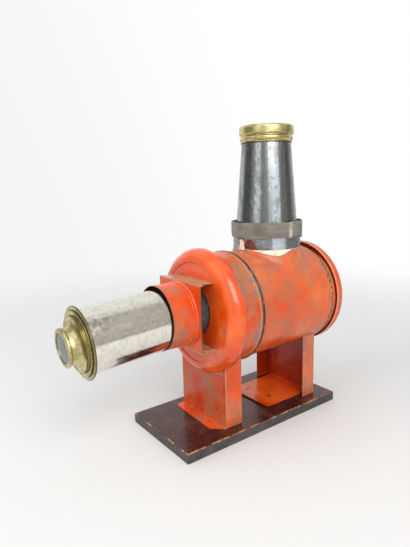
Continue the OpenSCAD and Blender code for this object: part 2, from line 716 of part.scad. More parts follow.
module wick_spindle() color([0.6, 0.52, 0.3]) on_lamp() translate([0, spindle_off, spindle_z]) rotate([0, 90, 0]) {
    translate([0, 0, -burner_r - 1.5]) cylinder(r = spindle_r, h = 2 * burner_r + 12.5);
    for (x = [-3.7, 2.3]) translate([0, 0, x]) star_wheel();
    translate([0, 0, burner_r + 9]) cylinder(r = knob_r, h = 2.4);
}
module glass_gallery() color([0.76, 0.64, 0.3]) on_chimney() difference() {
    translate([0, 0, burner_top]) rotate_extrude() {
        translate([tube_half_x + 0.6, seat / 2]) square([gallery_r - tube_half_x - 0.6, sheet_t]);
        translate([gallery_r - sheet_t, seat / 2]) square([sheet_t, gallery_h]);
    }
    for (i = [0 : 11]) rotate([0, 0, i * 30 + 15])
        translate([(tube_half_x + glass_r) / 2 + 1, 0, burner_top - cut]) cylinder(r = 1.1, h = sheet_t + 2 * cut);
}
module lamp_glass() color([0.85, 0.9, 0.9, 0.35]) on_chimney()
    translate([0, 0, burner_top + sheet_t + seat]) rotate_extrude() {
        wall = 1.2;
        belly = glass_r + 2;
        upper = glass_r - 2.6;
        low = 0.1 * glass_len;
        mid = 0.22 * glass_len;
        high = 0.31 * glass_len;
        shoulder = 0.58 * glass_len;
        polygon([[glass_r - wall, 0], [glass_r, 0], [glass_r, low], [belly, mid], [belly, high],
            [upper, shoulder], [upper, glass_len], [upper - wall, glass_len], [upper - wall, shoulder - 0.4],
            [belly - wall, high - 0.2], [belly - wall, mid + 0.4], [glass_r - wall, low + 0.4]]);
    }

base_board();
front_foot();
rear_foot();
foot_nails();
front_bezel();
front_section();
joint_band();
body_shell();
slide_stage();
lens_collar();
condenser_cell();
condenser_lens();
condenser_ring();
lens_tube();
lens_mount();
lens_cell();
front_lens();
rear_lens();
rear_lens_rings();
packing_paper();
chimney_socket();
chimney_flue();
chimney_rim();
chimney_crown();
chimney_strap();
rear_cap();
reflector();
reflector_stud();
lamp_floor();
lamp_tank();
filler_cap();
burner();
wick_tube();
wick();
wick_spindle();
glass_gallery();
lamp_glass();
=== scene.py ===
# %% [markdown]
# # A toy projection lantern
# The CAD model gives every piece its true shape and place, in metres, with the lens looking to -Y
# and the photographed side facing +X. This lesson dresses it: worn lacquer, tarnished nickel,
# olive brass, blued iron, crumpled paper. Pieces that a machine can't draw well, such as a dented
# shell or a torn strip, are worked out here as surfaces of two parameters.

# %% Load the frame
import math

import bpy
import numpy as np
from mathutils import Matrix, Vector


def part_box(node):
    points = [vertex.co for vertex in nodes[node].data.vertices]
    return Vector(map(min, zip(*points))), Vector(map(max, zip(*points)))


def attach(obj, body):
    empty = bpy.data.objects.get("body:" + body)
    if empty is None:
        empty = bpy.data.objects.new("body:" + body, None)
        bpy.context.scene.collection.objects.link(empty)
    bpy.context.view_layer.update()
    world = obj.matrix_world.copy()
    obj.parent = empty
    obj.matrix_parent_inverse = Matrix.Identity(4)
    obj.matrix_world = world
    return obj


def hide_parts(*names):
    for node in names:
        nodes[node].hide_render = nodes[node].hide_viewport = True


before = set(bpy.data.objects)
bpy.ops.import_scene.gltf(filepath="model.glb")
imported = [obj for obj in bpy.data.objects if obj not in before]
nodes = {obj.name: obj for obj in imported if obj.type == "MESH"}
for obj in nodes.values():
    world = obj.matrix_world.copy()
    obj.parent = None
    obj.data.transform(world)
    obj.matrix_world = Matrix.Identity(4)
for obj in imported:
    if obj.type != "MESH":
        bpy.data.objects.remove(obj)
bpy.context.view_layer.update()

# %% [markdown]
# ## Sizes that the surfaces share
# A few lengths come back in many steps. They are measured from the CAD nodes, so that the new
# pieces stay seated when the CAD changes.

# %% Shared sizes
shell_low, shell_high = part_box("body_shell")
socket_low, socket_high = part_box("chimney_socket")
flue_low, flue_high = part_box("chimney_flue")
strap_low, strap_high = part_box("chimney_strap")
paper_low, paper_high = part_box("packing_paper")
tube_low, tube_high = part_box("lens_tube")
board_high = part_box("base_board")[1]
shell_radius = shell_high.x
barrel_height = shell_low.z + shell_radius
flue_centre = (flue_low.y + flue_high.y) / 2
collar_low, collar_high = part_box("lens_collar")
stage_low, stage_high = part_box("slide_stage")
optic_height = (stage_low.z + stage_high.z) / 2
tube_droop = math.radians(4)
print(f"barrel radius {shell_radius:.4f}, axis height {barrel_height:.4f}, chimney at y {flue_centre:.4f}")

# %% [markdown]
# ## Placing shader nodes
# A material is a small graph. These helpers add one node at a time and fill its sockets with
# numbers or with links, so that each recipe below reads from top to bottom like a sum.


# %% Helpers for nodes and sums
def feed(tree, socket, value):
    """Fills a socket with a link, or with a plain number, vector or colour."""
    if isinstance(value, bpy.types.NodeSocket):
        tree.links.new(value, socket)
    else:
        socket.default_value = value


def place(tree, kind, sockets=None, **settings):
    """Adds one node, sets its settings, and feeds each named socket."""
    made = tree.nodes.new(kind)
    for name, value in settings.items():
        setattr(made, name, value)
    for key, value in (sockets or {}).items():
        feed(tree, made.inputs[key], value)
    return made


def calc(tree, operation, a, b=0.0, c=0.0):
    """One sum: the named operation on up to three numbers or links."""
    return place(tree, "ShaderNodeMath", {0: a, 1: b, 2: c}, operation=operation).outputs[0]


def times(tree, first, *factors):
    """The product of two or more numbers or links."""
    for factor in factors:
        first = calc(tree, "MULTIPLY", first, factor)
    return first


def gap(tree, value, target):
    """The distance of a value from a target."""
    return calc(tree, "ABSOLUTE", calc(tree, "SUBTRACT", value, target))


def axes(tree, where):
    """The X, Y and Z of a place."""
    return place(tree, "ShaderNodeSeparateXYZ", {0: where}).outputs


def draw_out(tree, where, factors):
    """Each axis of a place times its own factor. A small factor draws a pattern out along that axis."""
    return place(tree, "ShaderNodeVectorMath", {0: where, 1: factors}, operation="MULTIPLY").outputs[0]


def noise(tree, where, scale, detail, **more):
    """Noise at a place: scale in waves a metre, detail in finer layers laid over the first."""
    sockets = {"Vector": where, "Scale": scale, "Detail": detail, **more}
    return place(tree, "ShaderNodeTexNoise", sockets).outputs[0]


print("nodes and sums ready")

# %% [markdown]
# Wear is a matter of where. A mask is a number from 0 to 1 over the surface, and a finish is one
# colour laid over another by a mask.


# %% Helpers for masks and blends
def between(tree, value, low, high):
    """A soft step: 0 below low, 1 above high, and a smooth S between them. It falls if low > high."""
    return place(tree, "ShaderNodeMapRange", {"Value": value, "From Min": low, "From Max": high},
                 interpolation_type="SMOOTHSTEP").outputs["Result"]


def within(tree, value, low, high, soft_low, soft_high):
    """1 between low and high, 0 outside them; each border runs over twice its softness."""
    return times(tree, between(tree, value, low - soft_low, low + soft_low),
                 between(tree, value, high + soft_high, high - soft_high))


def blend_colours(tree, mask, first, second):
    """first where the mask is 0, second where it is 1."""
    made = place(tree, "ShaderNodeMix", {0: mask}, data_type="RGBA")
    for index, colour in ((6, first), (7, second)):
        feed(tree, made.inputs[index], (*colour, 1.0) if isinstance(colour, tuple) else colour)
    return made.outputs[2]


def blend_values(tree, mask, first, second):
    """The same for single numbers: first + mask x (second - first)."""
    return place(tree, "ShaderNodeMix", {0: mask, 2: first, 3: second}, data_type="FLOAT").outputs[0]


def coat(tree, colour, mask, share, shade):
    """Lays a shade over a colour where the mask is 1, with share as how well it covers."""
    return blend_colours(tree, times(tree, mask, share), colour, shade)


print("masks and blends ready")

# %% [markdown]
# A pattern that several finishes share goes into a group: a small graph of its own, built once and
# placed in each material with other values, as a stencil is used with other paints.


# %% Helpers for groups
def new_group(name, inputs, outputs):
    """An empty shader group with named sockets; inputs give their default values."""
    tree = bpy.data.node_groups.new(name, "ShaderNodeTree")
    for socket, kind, default in inputs:
        made = tree.interface.new_socket(socket, in_out="INPUT", socket_type=kind)
        if default is not None:
            made.default_value = default
    for socket, kind in outputs:
        tree.interface.new_socket(socket, in_out="OUTPUT", socket_type=kind)
    source = tree.nodes.new("NodeGroupInput").outputs
    sink = tree.nodes.new("NodeGroupOutput").inputs
    return tree, source, sink


def use(tree, group, sockets):
    """Places a group in a material with its own values."""
    return place(tree, "ShaderNodeGroup", sockets, node_tree=group).outputs


FLOAT, VECTOR = "NodeSocketFloat", "NodeSocketVector"
print("groups ready")

# %% [markdown]
# ## Coordinates that follow a turned piece
# Streaks on a barrel run round it or along it. An unwrapped UV map could carry them, but the CAD
# meshes stay as they are, so the place itself is unwrapped. The group turns a place, given with the
# piece's axis along Z, into (arc, length along the axis, distance from the axis), all in metres.

# %% Group: wrap round an axis
wrap, given, result = new_group(
    "wrap_round_axis", [("Place", VECTOR, None), ("Radius", FLOAT, 0.05)],
    [("Wrapped", VECTOR), ("Arc", FLOAT), ("Along", FLOAT), ("Out", FLOAT)])
parts = axes(wrap, given["Place"])
arc = times(wrap, calc(wrap, "ARCTAN2", parts[1], parts[0]), given["Radius"])
squares = [times(wrap, part, part) for part in parts[:2]]
out = calc(wrap, "SQRT", calc(wrap, "ADD", *squares))
wrapped = place(wrap, "ShaderNodeCombineXYZ", {0: arc, 1: parts[2], 2: out}).outputs[0]
for socket, value in (("Wrapped", wrapped), ("Arc", arc), ("Along", parts[2]), ("Out", out)):
    wrap.links.new(value, result[socket])
print("wrap_round_axis:", len(wrap.nodes), "nodes")

# %% [markdown]
# ## Worn patches
# Lacquer on tin wears where hands and shelves rub it. The wear is neither speckle nor blot: broad
# areas with ragged, smeared borders. They could be painted on by hand, but a formula can be tuned for
# each piece: a coarse noise chooses the areas, and a fine stretched noise frays them.

# %% Group: smeared patches
patches, given, result = new_group(
    "smeared_patches",
    [("Place", VECTOR, None), ("Scale", FLOAT, 20.0), ("Stretch", VECTOR, (1.0, 1.0, 1.0)),
     ("Amount", FLOAT, 0.5), ("Softness", FLOAT, 0.05)], [("Mask", FLOAT), ("Fray", FLOAT)])
stretched = draw_out(patches, given["Place"], given["Stretch"])
coarse = noise(patches, given["Place"], given["Scale"], 2.0, Distortion=0.4)
fray_scale = times(patches, given["Scale"], 4.2)
fray = noise(patches, stretched, fray_scale, 7.0, Roughness=0.68)
total = calc(patches, "ADD", times(patches, coarse, 0.5), times(patches, fray, 0.5))
limit = calc(patches, "SUBTRACT", 0.66, times(patches, given["Amount"], 0.30))
mask = between(patches, total, calc(patches, "SUBTRACT", limit, given["Softness"]),
               calc(patches, "ADD", limit, given["Softness"]))
patches.links.new(mask, result["Mask"])
patches.links.new(fray, result["Fray"])
print("smeared_patches:", len(patches.nodes), "nodes")

# %% [markdown]
# ## Ragged edges
# Paint chips along an edge in a line of uneven width. Blender can find edges by their curvature,
# but only on fine meshes, and CAD triangles are long and few. So each finish measures its distance
# from an edge, and the group returns 1 within the line and 0 outside it, its width shaken by noise.

# %% Group: ragged edge
ragged, given, result = new_group(
    "ragged_edge", [("Distance", FLOAT, 1.0), ("Width", FLOAT, 0.0008), ("Place", VECTOR, None),
                    ("Scale", FLOAT, 300.0), ("Shake", FLOAT, 1.4)], [("Mask", FLOAT)])
shaken = noise(ragged, given["Place"], given["Scale"], 4.0, Roughness=0.6)
shift = times(ragged, given["Shake"], calc(ragged, "SUBTRACT", shaken, 0.5))
width = times(ragged, given["Width"], calc(ragged, "ADD", 1.0, shift))
mask = between(ragged, given["Distance"], width, times(ragged, width, 0.55))
ragged.links.new(mask, result["Mask"])
print("ragged_edge:", len(ragged.nodes), "nodes")

# %% [markdown]
# ## Small dents and scratches
# Old sheet metal is never flat. One height field serves all metal here: slow waves of the sheet,
# a fine skin, and short scratches in one direction. It feeds a Bump node in each material.

# %% Group: sheet height
sheet, given, result = new_group(
    "sheet_height", [("Place", VECTOR, None), ("Wave", FLOAT, 0.5), ("Skin", FLOAT, 0.3),
                     ("Scratch", FLOAT, 0.3), ("Lay", VECTOR, (1.0, 1.0, 1.0))], [("Height", FLOAT)])
wave = noise(sheet, given["Place"], 38.0, 1.0)
skin = noise(sheet, given["Place"], 900.0, 3.0)
laid = draw_out(sheet, given["Place"], given["Lay"])
scratch = noise(sheet, laid, 420.0, 4.0, Roughness=0.7)
lines = between(sheet, scratch, 0.56, 0.64)
fine = calc(sheet, "SUBTRACT", times(sheet, skin, given["Skin"]), times(sheet, lines, given["Scratch"]))
height = calc(sheet, "ADD", times(sheet, wave, given["Wave"]), fine)
sheet.links.new(height, result["Height"])
print("sheet_height:", len(sheet.nodes), "nodes")

# %% [markdown]
# ## Starting a material
# Every recipe starts the same way: a Principled shader, the object's own coordinates, and
# sometimes those coordinates turned so that the piece's axis lies along Z. The Mapping node's
# TEXTURE mode takes a place out of the lantern's frame and into the piece's own.


# %% Helpers for materials
def start(name):
    """A new material: its tree, its Principled shader and the Object coordinates."""
    material = bpy.data.materials.new(name)
    material.use_nodes = True
    tree = material.node_tree
    shader = tree.nodes["Principled BSDF"]
    place_of = tree.nodes.new("ShaderNodeTexCoord").outputs["Object"]
    return material, tree, shader, place_of


def about_axis(tree, place_of, centre, turn):
    """The place seen from a frame with its origin at centre, turned by turn, with Z as the axis."""
    return place(tree, "ShaderNodeMapping", {"Vector": place_of, "Location": centre, "Rotation": turn},
                 vector_type="TEXTURE").outputs[0]


def bump(tree, height, depth):
    """A Bump node whose height runs over depth metres."""
    return place(tree, "ShaderNodeBump", {"Height": height, "Distance": depth}).outputs[0]


def link(tree, shader, **sockets):
    """Feeds values to the shader, with the sockets' names written as words joined by underscores."""
    for words, value in sockets.items():
        feed(tree, shader.inputs[words.replace("_", " ")], value)


def dress(material, *names):
    """Gives the material to every slot of the named CAD nodes."""
    for name in names:
        for held in nodes[name].material_slots:
            held.material = material


def worn(tree, where, scale, amount, softness, stretch=(1.0, 1.0, 1.0)):
    """The smeared patches at a place: their mask, and the fine noise that frays them."""
    return use(tree, patches, {"Place": where, "Scale": scale, "Stretch": stretch, "Amount": amount,
                               "Softness": softness})


def sheet_skin(tree, where, wave, skin, scratch, lay):
    """The height of old sheet metal at a place, for a Bump node."""
    return use(tree, sheet, {"Place": where, "Wave": wave, "Skin": skin, "Scratch": scratch,
                             "Lay": lay})["Height"]


def threads(tree, where, scale, distortion, axis):
    """Even waves that follow one another along an axis."""
    return place(tree, "ShaderNodeTexWave", {"Vector": where, "Scale": scale, "Distortion": distortion},
                 bands_direction=axis).outputs[1]


print("material helpers ready")

# %% [markdown]
# The round pieces need to know their axes. Each is a point on the axis and the turn that lays Z along
# it. The loose lens tube hangs low at its front, so it has an axis of its own.

# %% Axes of the round pieces, and the ways that patches are drawn out
EVEN, AROUND, ALONG, DOWN = (1.0, 1.0, 1.0), (0.35, 1.0, 1.0), (1.0, 0.35, 1.0), (1.0, 1.0, 0.4)
LYING = math.radians(-90)
tube_hang = 0.00145
BARREL = ((0.0, 0.0, barrel_height), (LYING, 0.0, 0.0))
COLLAR = ((0.0, 0.0, optic_height), (LYING, 0.0, 0.0))
TUBE = ((0.0, collar_low.y, optic_height - tube_hang), (tube_droop + LYING, 0.0, 0.0))
CHIMNEY = ((0.0, flue_centre, 0.0), (0.0, 0.0, 0.0))
print("axes ready")

# %% [markdown]
# ## Orange-red lacquer
# The lacquer is a thin orange-red over tin. It wears in two ways: a soft smear, where hands have
# thinned it to a taupe haze, and small hard chips down to the grey metal. Each piece wears in its
# own way, so the recipe takes the amount of both, the way they run, and the edges that have lost
# their paint.


# %% Recipe: lacquer
DARK_RED, MID_RED, ORANGE_RED = (0.60, 0.050, 0.002), (0.76, 0.088, 0.004), (0.88, 0.150, 0.018)
SHADED_RED = (0.30, 0.012, 0.001)
PINK_TAUPE, GREY_TAUPE, BARE_TIN = (0.48, 0.190, 0.080), (0.30, 0.160, 0.085), (0.215, 0.150, 0.115)


def lacquer(name, amount, stretch, scale=20.0, frame_of=None, edges=None, haze=0.6, chips=0.34,
            soft=0.085, deep=0.0, polish=0.25, face=None):
    """Red lacquer: three reds by slow noise, painted shade, a taupe haze, grey chips, and lines along
    edges.

    amount is how much is worn and deep how much painted shade darkens the red; both may be numbers or
    functions of (tree, place). haze is how well the smear covers, chips how many there are, soft the
    width of the smear's border and polish the gloss of the clear coat. edges is a function of (tree,
    place, wrapped) that returns a list of (distance, width, colour): worn and dark lines, and on some
    pieces painted highlights and painted shade. Inside the radius face the piece is a flat disc, so
    the plain place is used there.
    """
    material, tree, shader, place_of = start(name)
    where, wrapped = place_of, None
    if frame_of:
        centre, turn, radius = frame_of
        wrapped = use(tree, wrap, {"Place": about_axis(tree, place_of, centre, turn), "Radius": radius})
        where = wrapped["Wrapped"]
    if face:
        flat = between(tree, wrapped["Out"], face + 0.001, face - 0.001)
        where = place(tree, "ShaderNodeMix", {0: flat, 4: where, 5: place_of},
                      data_type="VECTOR").outputs[1]
    tone = noise(tree, where, 26.0, 3.0)
    red = blend_colours(tree, between(tree, tone, 0.30, 0.60), DARK_RED, MID_RED)
    red = blend_colours(tree, between(tree, tone, 0.52, 0.80), red, ORANGE_RED)
    share, shade = [part(tree, place_of) if callable(part) else part for part in (amount, deep)]
    # Painted shade: the red darkens towards SHADED_RED as far as deep says.
    if deep:
        red = blend_colours(tree, shade, red, SHADED_RED)
    smear = worn(tree, where, scale, share, soft, stretch)
    taupe = blend_colours(tree, between(tree, smear["Fray"], 0.38, 0.62), PINK_TAUPE, GREY_TAUPE)
    colour = coat(tree, red, smear["Mask"], haze, taupe)
    chip = worn(tree, where, scale * 3.1, chips, 0.018, stretch)
    chipped = times(tree, chip["Mask"], calc(tree, "ADD", 0.25, smear["Mask"]))
    colour = coat(tree, colour, chipped, 0.62, BARE_TIN)
    for distance, width, shade in (edges(tree, place_of, wrapped) if edges else []):
        one = use(tree, ragged, {"Distance": distance, "Width": width, "Place": place_of, "Scale": 220.0,
                                 "Shake": 1.9})["Mask"]
        colour = coat(tree, colour, one, 0.88, shade)
    rough = blend_values(tree, smear["Mask"], 0.22, 0.42)
    height = sheet_skin(tree, place_of, 0.8, 0.03, 0.02, (1.0, 0.15, 1.0))
    height = calc(tree, "SUBTRACT", height, times(tree, chipped, 0.035))
    link(tree, shader, Base_Color=colour, Roughness=rough, Normal=bump(tree, height, 0.0015),
         Specular_IOR_Level=0.32, Coat_Weight=polish, Coat_Roughness=0.07)
    return material


TAN, RUST, DARK = (0.42, 0.26, 0.16), (0.30, 0.15, 0.08), (0.055, 0.035, 0.028)
SOOT = (0.008, 0.005, 0.005)
print("lacquer recipe ready")

# %% [markdown]
# ### Where the round pieces lose their paint
# On a turned or rolled piece the paint goes first at the rims, so the distance from a rim, measured
# along the axis, is all that a worn line needs. The shell's rear end has a worn strip that the cap
# has rubbed, with a ragged dark line in front of it. Some lines are painted light instead: painted
# highlights on the section's rim and the cap's lip, and painted shade in the gap before the cap and
# inside the collar.

# %% Edges of the round pieces
joint_at, joint_high = (corner.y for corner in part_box("joint_band"))
cap_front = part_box("rear_cap")[0].y
bezel_high, rear_high = (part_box(name)[1] for name in ("front_bezel", "rear_foot"))
foot_low, foot_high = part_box("front_foot")
bore_radius = tube_high.x + 0.00175


def section_edges(tree, place_of, wrapped):
    """A pale line along the section's raised rear rim, a painted highlight, and a dark line just before the
    bead.
    """
    return [(gap(tree, wrapped["Along"], joint_at - 0.0022), 0.0009, TAN),
            (gap(tree, wrapped["Along"], joint_at - 0.0004), 0.0007, DARK)]


def shell_edges(tree, place_of, wrapped):
    """A dark line along the bead, painted shade in the gap before the cap, the speckled chipped line, and
    the neck's rim.

    The chipped line fades out on top, from 150 to 162 mm over the floor.
    """
    height = axes(tree, place_of)[2]
    low_down = between(tree, height, 0.162, 0.150)
    line = gap(tree, wrapped["Along"], cap_front - 0.0060)
    speck = noise(tree, place_of, 650.0, 2.0)
    speckled = blend_colours(tree, between(tree, speck, 0.47, 0.53), SOOT, (0.36, 0.25, 0.15))
    from_rim = place(tree, "ShaderNodeAttribute", attribute_name="from_rim").outputs["Fac"]
    return [(gap(tree, wrapped["Along"], joint_high + 0.0003), 0.0009, DARK),
            (gap(tree, wrapped["Along"], cap_front), 0.0016, (0.075, 0.006, 0.003)),
            (line, times(tree, low_down, 0.0027), speckled),
            (from_rim, 0.0006, DARK)]


def cap_edges(tree, place_of, wrapped):
    """A paler pink line along the cap's front lip, a painted highlight of its rounded edge."""
    return [(gap(tree, wrapped["Along"], cap_front + 0.0006), 0.0016, (0.84, 0.25, 0.13))]


def collar_edges(tree, place_of, wrapped):
    """The collar's bare mouth, and painted shade that darkens it inside."""
    # Painted shade: the inside of the collar is near black.
    bore_shade = calc(tree, "MAXIMUM", 0.0, calc(tree, "SUBTRACT", wrapped["Out"], bore_radius))
    return [(bore_shade, 0.0002, (0.02, 0.016, 0.014)),
            (gap(tree, wrapped["Along"], collar_low.y), 0.0006, (0.10, 0.060, 0.045))]


def shell_wear(tree, place_of):
    """The shell is worn most on top, where hands lift it, and less from 152 down to 118 mm."""
    height = axes(tree, place_of)[2]
    return blend_values(tree, between(tree, height, 0.118, 0.152), 0.50, 0.80)


print(f"joint's bead from {joint_at:.4f} to {joint_high:.4f}, cap's lip at {cap_front:.4f}")

# %% [markdown]
# ### Where the flat pieces lose theirs
# The stage and the feet are cut and folded from flat tin. Their paint goes along the folds and the
# free edges. An edge is where two faces meet, so the greater of two distances finds it. The feet's
# outer faces are rubbed pale, while their inner walls kept their paint and are darkened by painted
# shade.


# %% Edges and wear of the flat pieces
def stage_edges(tree, place_of, wrapped):
    """Bare tin along the plate's edges."""
    xyz = axes(tree, place_of)
    side = gap(tree, calc(tree, "ABSOLUTE", xyz[0]), stage_high.x)
    top = calc(tree, "MINIMUM", gap(tree, xyz[2], stage_high.z), gap(tree, xyz[2], stage_low.z))
    return [(side, 0.0009, (0.12, 0.07, 0.045)), (top, 0.0011, (0.40, 0.27, 0.17))]


def foot_edges(front, back):
    """Bare metal down the folded corners and the flanges' free edges, at the two stations."""
    def edges(tree, place_of, wrapped):
        xyz = axes(tree, place_of)
        side = gap(tree, calc(tree, "ABSOLUTE", xyz[0]), foot_high.x)
        corner = calc(tree, "MAXIMUM", side, gap(tree, xyz[1], front))
        free = calc(tree, "MAXIMUM", side, gap(tree, xyz[1], back))
        return [(corner, 0.0008, TAN), (free, 0.0007, RUST)]
    return edges


def flange_wear(on_wall, on_flange):
    """One amount of wear on a foot's wall, another on the outer faces of its flanges."""
    def amount(tree, place_of):
        across = calc(tree, "ABSOLUTE", axes(tree, place_of)[0])
        outer = between(tree, across, foot_high.x - 0.0006, foot_high.x - 0.0002)
        return blend_values(tree, outer, on_wall, on_flange)
    return amount


def shaded_wall(share):
    """Painted shade: a deeper red on the walls between the flanges, but not on the lips that lie on the
    board.
    """
    def amount(tree, place_of):
        xyz = axes(tree, place_of)
        inner = between(tree, calc(tree, "ABSOLUTE", xyz[0]), foot_high.x - 0.0002, foot_high.x - 0.0006)
        standing = between(tree, xyz[2], board_high.z + 0.0008, board_high.z + 0.0025)
        return times(tree, inner, standing, share)
    return amount


print(f"feet {foot_high.x * 2000:.1f} mm across, on a board {board_high.z * 1000:.1f} mm thick")

# %% [markdown]
# ### One coat for each piece
# The front plate is the best kept piece and the front section the worst. One material could cover
# them all, but then a streak would run on from piece to piece, so each has a coat of its own.

# %% Lacquer for each piece
disc_radius, cap_flat = 0.036, shell_radius - 0.004
lip_reach, flange_depth = 0.012, 0.017
shell_red = lacquer("lacquer_shell", shell_wear, AROUND, 40.0, (*BARREL, shell_radius), shell_edges, 0.62,
                    0.30, soft=0.20)
dress(lacquer("lacquer_front_plate", 0.25, ALONG, 24.0, (*BARREL, bezel_high.x), None, 0.3, 0.26,
              polish=0.7, face=disc_radius), "front_bezel")
dress(lacquer("lacquer_front_section", 0.60, AROUND, 46.0, (*BARREL, shell_radius), section_edges, 0.66,
              0.50, soft=0.07), "front_section")
dress(lacquer("lacquer_rear_cap", 0.46, AROUND, 32.0, (*BARREL, shell_radius), cap_edges, 0.6, 0.36,
              soft=0.14, deep=0.15, face=cap_flat), "rear_cap")
dress(lacquer("lacquer_stage", 0.36, EVEN, 28.0, None, stage_edges, 0.4, 0.36), "slide_stage")
dress(lacquer("lacquer_collar", 0.46, ALONG, 28.0, (*COLLAR, collar_high.x), collar_edges, 0.6, 0.38),
      "lens_collar")
front_edges = foot_edges(foot_low.y + lip_reach, foot_high.y)
dress(lacquer("lacquer_front_foot", flange_wear(0.40, 0.34), DOWN, 32.0, None, front_edges, 0.62, 0.42,
              deep=shaded_wall(0.40)), "front_foot")
rear_edges = foot_edges(rear_high.y, rear_high.y - flange_depth)
dress(lacquer("lacquer_rear_foot", flange_wear(0.04, 0.76), DOWN, 26.0, None, rear_edges, 0.7, 0.40,
              deep=shaded_wall(0.8)), "rear_foot")
print("eight coats of lacquer")

# %% [markdown]
# ## Varnished board
# The board's top is a dark oxblood varnish over brown stain, polished enough to mirror the feet.
# Its sides are painted near black, and along the upper edges the paint has gone down to the wood.
# It could have a material for each face, but it is one solid, so one material tells top, side and
# edge apart by place.

# %% Material: board
board_finish, tree, shader, place_of = start("board_varnish")
xyz = axes(tree, place_of)
mottle = noise(tree, place_of, 55.0, 6.0, Roughness=0.65, Distortion=0.6)
grain = noise(tree, draw_out(tree, place_of, (1.0, 0.08, 1.0)), 700.0, 4.0)
top = blend_colours(tree, between(tree, mottle, 0.42, 0.70), (0.034, 0.0065, 0.0060), (0.092, 0.026, 0.017))
top = coat(tree, top, between(tree, grain, 0.5, 0.75), 0.25, (0.12, 0.045, 0.03))
side = blend_colours(tree, between(tree, mottle, 0.4, 0.7), (0.042, 0.038, 0.040), (0.085, 0.070, 0.066))
is_top = between(tree, xyz[2], board_high.z - 0.0012, board_high.z - 0.0002)
colour = blend_colours(tree, is_top, side, top)
edge_x, edge_y = (calc(tree, "SUBTRACT", board_high[k], calc(tree, "ABSOLUTE", xyz[k])) for k in (0, 1))
edge_z = calc(tree, "SUBTRACT", board_high.z, xyz[2])
near_rim = calc(tree, "ADD", calc(tree, "MINIMUM", edge_x, edge_y), edge_z)
rim_bare = use(tree, ragged, {"Distance": near_rim, "Width": 0.0010, "Place": place_of, "Scale": 160.0,
                              "Shake": 2.2})["Mask"]
wood = blend_colours(tree, grain, (0.52, 0.27, 0.12), (0.36, 0.17, 0.07))
colour = blend_colours(tree, rim_bare, colour, wood)
under = between(tree, xyz[2], 0.0012, 0.0004)
colour = coat(tree, colour, under, 0.6, (0.16, 0.08, 0.045))
rough = blend_values(tree, is_top, 0.52, blend_values(tree, between(tree, mottle, 0.4, 0.7), 0.16, 0.30))
height = sheet_skin(tree, place_of, 0.25, 0.10, 0.10, (1.0, 0.1, 1.0))
link(tree, shader, Base_Color=colour, Roughness=rough, Normal=bump(tree, height, 0.0006),
     Specular_IOR_Level=0.36, Coat_Weight=0.08, Coat_Roughness=0.10)
dress(board_finish, "base_board")
print("board:", len(tree.nodes), "nodes")

# %% [markdown]
# ## Metals
# Nickel, brass, blued iron and plain tin share one recipe: a metal colour, a tarnish colour laid
# in smeared patches along the piece, and a roughness that rises with the tarnish. What differs is
# how far the tarnish has gone and which way it runs.


# %% Recipe: tarnished metal
def metal(name, bright, tarnish, amount, stretch, frame_of, scale=22.0, rough=(0.14, 0.38),
          depth=0.0004, lay=EVEN, lathe=0.0, wave=0.5, spots=None, band=None, painted_reflections=(),
          grooves=(), dark=0.55):
    """A metal with patches of tarnish; lathe adds fine turned rings across the axis.

    band is (low, high, colour, start): between two arcs round the axis lies a painted dark reflection,
    faint all over, with short sooty dashes across it, thickest near start along the axis and on the
    lower arc's side. stripes are (low, high, strength, colour), painted reflections each between two
    arcs: dark in the deepest tarnish's colour where colour is None, else a painted highlight in that
    colour. grooves are radii at which dirt lies in a turned step. dark is the share of light that the
    deepest tarnish keeps.
    """
    material, tree, shader, place_of = start(name)
    centre, turn, radius = frame_of
    around = use(tree, wrap, {"Place": about_axis(tree, place_of, centre, turn), "Radius": radius})
    where = around["Wrapped"]
    dull = worn(tree, where, scale, amount, 0.06, stretch)
    colour = blend_colours(tree, dull["Mask"], bright, tarnish)
    deeper = tuple(channel * dark for channel in tarnish)
    deepest = times(tree, dull["Mask"], between(tree, dull["Fray"], 0.55, 0.75))
    colour = blend_colours(tree, deepest, colour, deeper)
    if spots:
        dots = noise(tree, where, 240.0, 3.0)
        colour = coat(tree, colour, between(tree, dots, 0.60, 0.70), 0.8, spots)
        colour = coat(tree, colour, between(tree, dots, 0.42, 0.33), 0.5, deeper)
    # The band is a painted dark reflection, faint all over, with sooty dashes laid over it.
    if band:
        low, high, soot_and_reflection, start_at = band
        inside = within(tree, around["Arc"], low, high, 0.0025, 0.0025)
        dashes = worn(tree, where, 230.0, 0.50, 0.12, (0.3, 1.0, 1.0))["Mask"]
        near = times(tree, between(tree, around["Along"], start_at + 0.034, start_at),
                     between(tree, around["Arc"], high + 0.0015, low + 0.0055))
        colour = coat(tree, colour, inside, 0.10, soot_and_reflection)
        strength = calc(tree, "ADD", 0.26, times(tree, near, 0.50))
        colour = coat(tree, colour, times(tree, inside, dashes), strength, soot_and_reflection)
    # Each stripe is painted: a dark reflection in the deepest tarnish's colour, or a highlight in its own
    # colour.
    for low, high, strength, shade in painted_reflections:
        inside = within(tree, around["Arc"], low, high, 0.0008, 0.0015)
        colour = coat(tree, colour, inside, strength, shade or deeper)
    for at in grooves:
        dirty = between(tree, gap(tree, around["Out"], at), 0.00085, 0.00020)
        colour = coat(tree, colour, dirty, 0.80, (0.10, 0.082, 0.035))
    gloss = blend_values(tree, dull["Mask"], rough[0], rough[1])
    height = sheet_skin(tree, where, wave, 0.08, 0.10, lay)
    if lathe:
        turned = place(tree, "ShaderNodeCombineXYZ", {0: around["Along"], 1: around["Out"]}).outputs[0]
        rings = noise(tree, turned, 1500.0, 3.0)
        height = calc(tree, "ADD", height, times(tree, rings, lathe))
    link(tree, shader, Base_Color=colour, Roughness=gloss, Normal=bump(tree, height, depth), Metallic=1.0)
    return material


print("metal recipe ready")
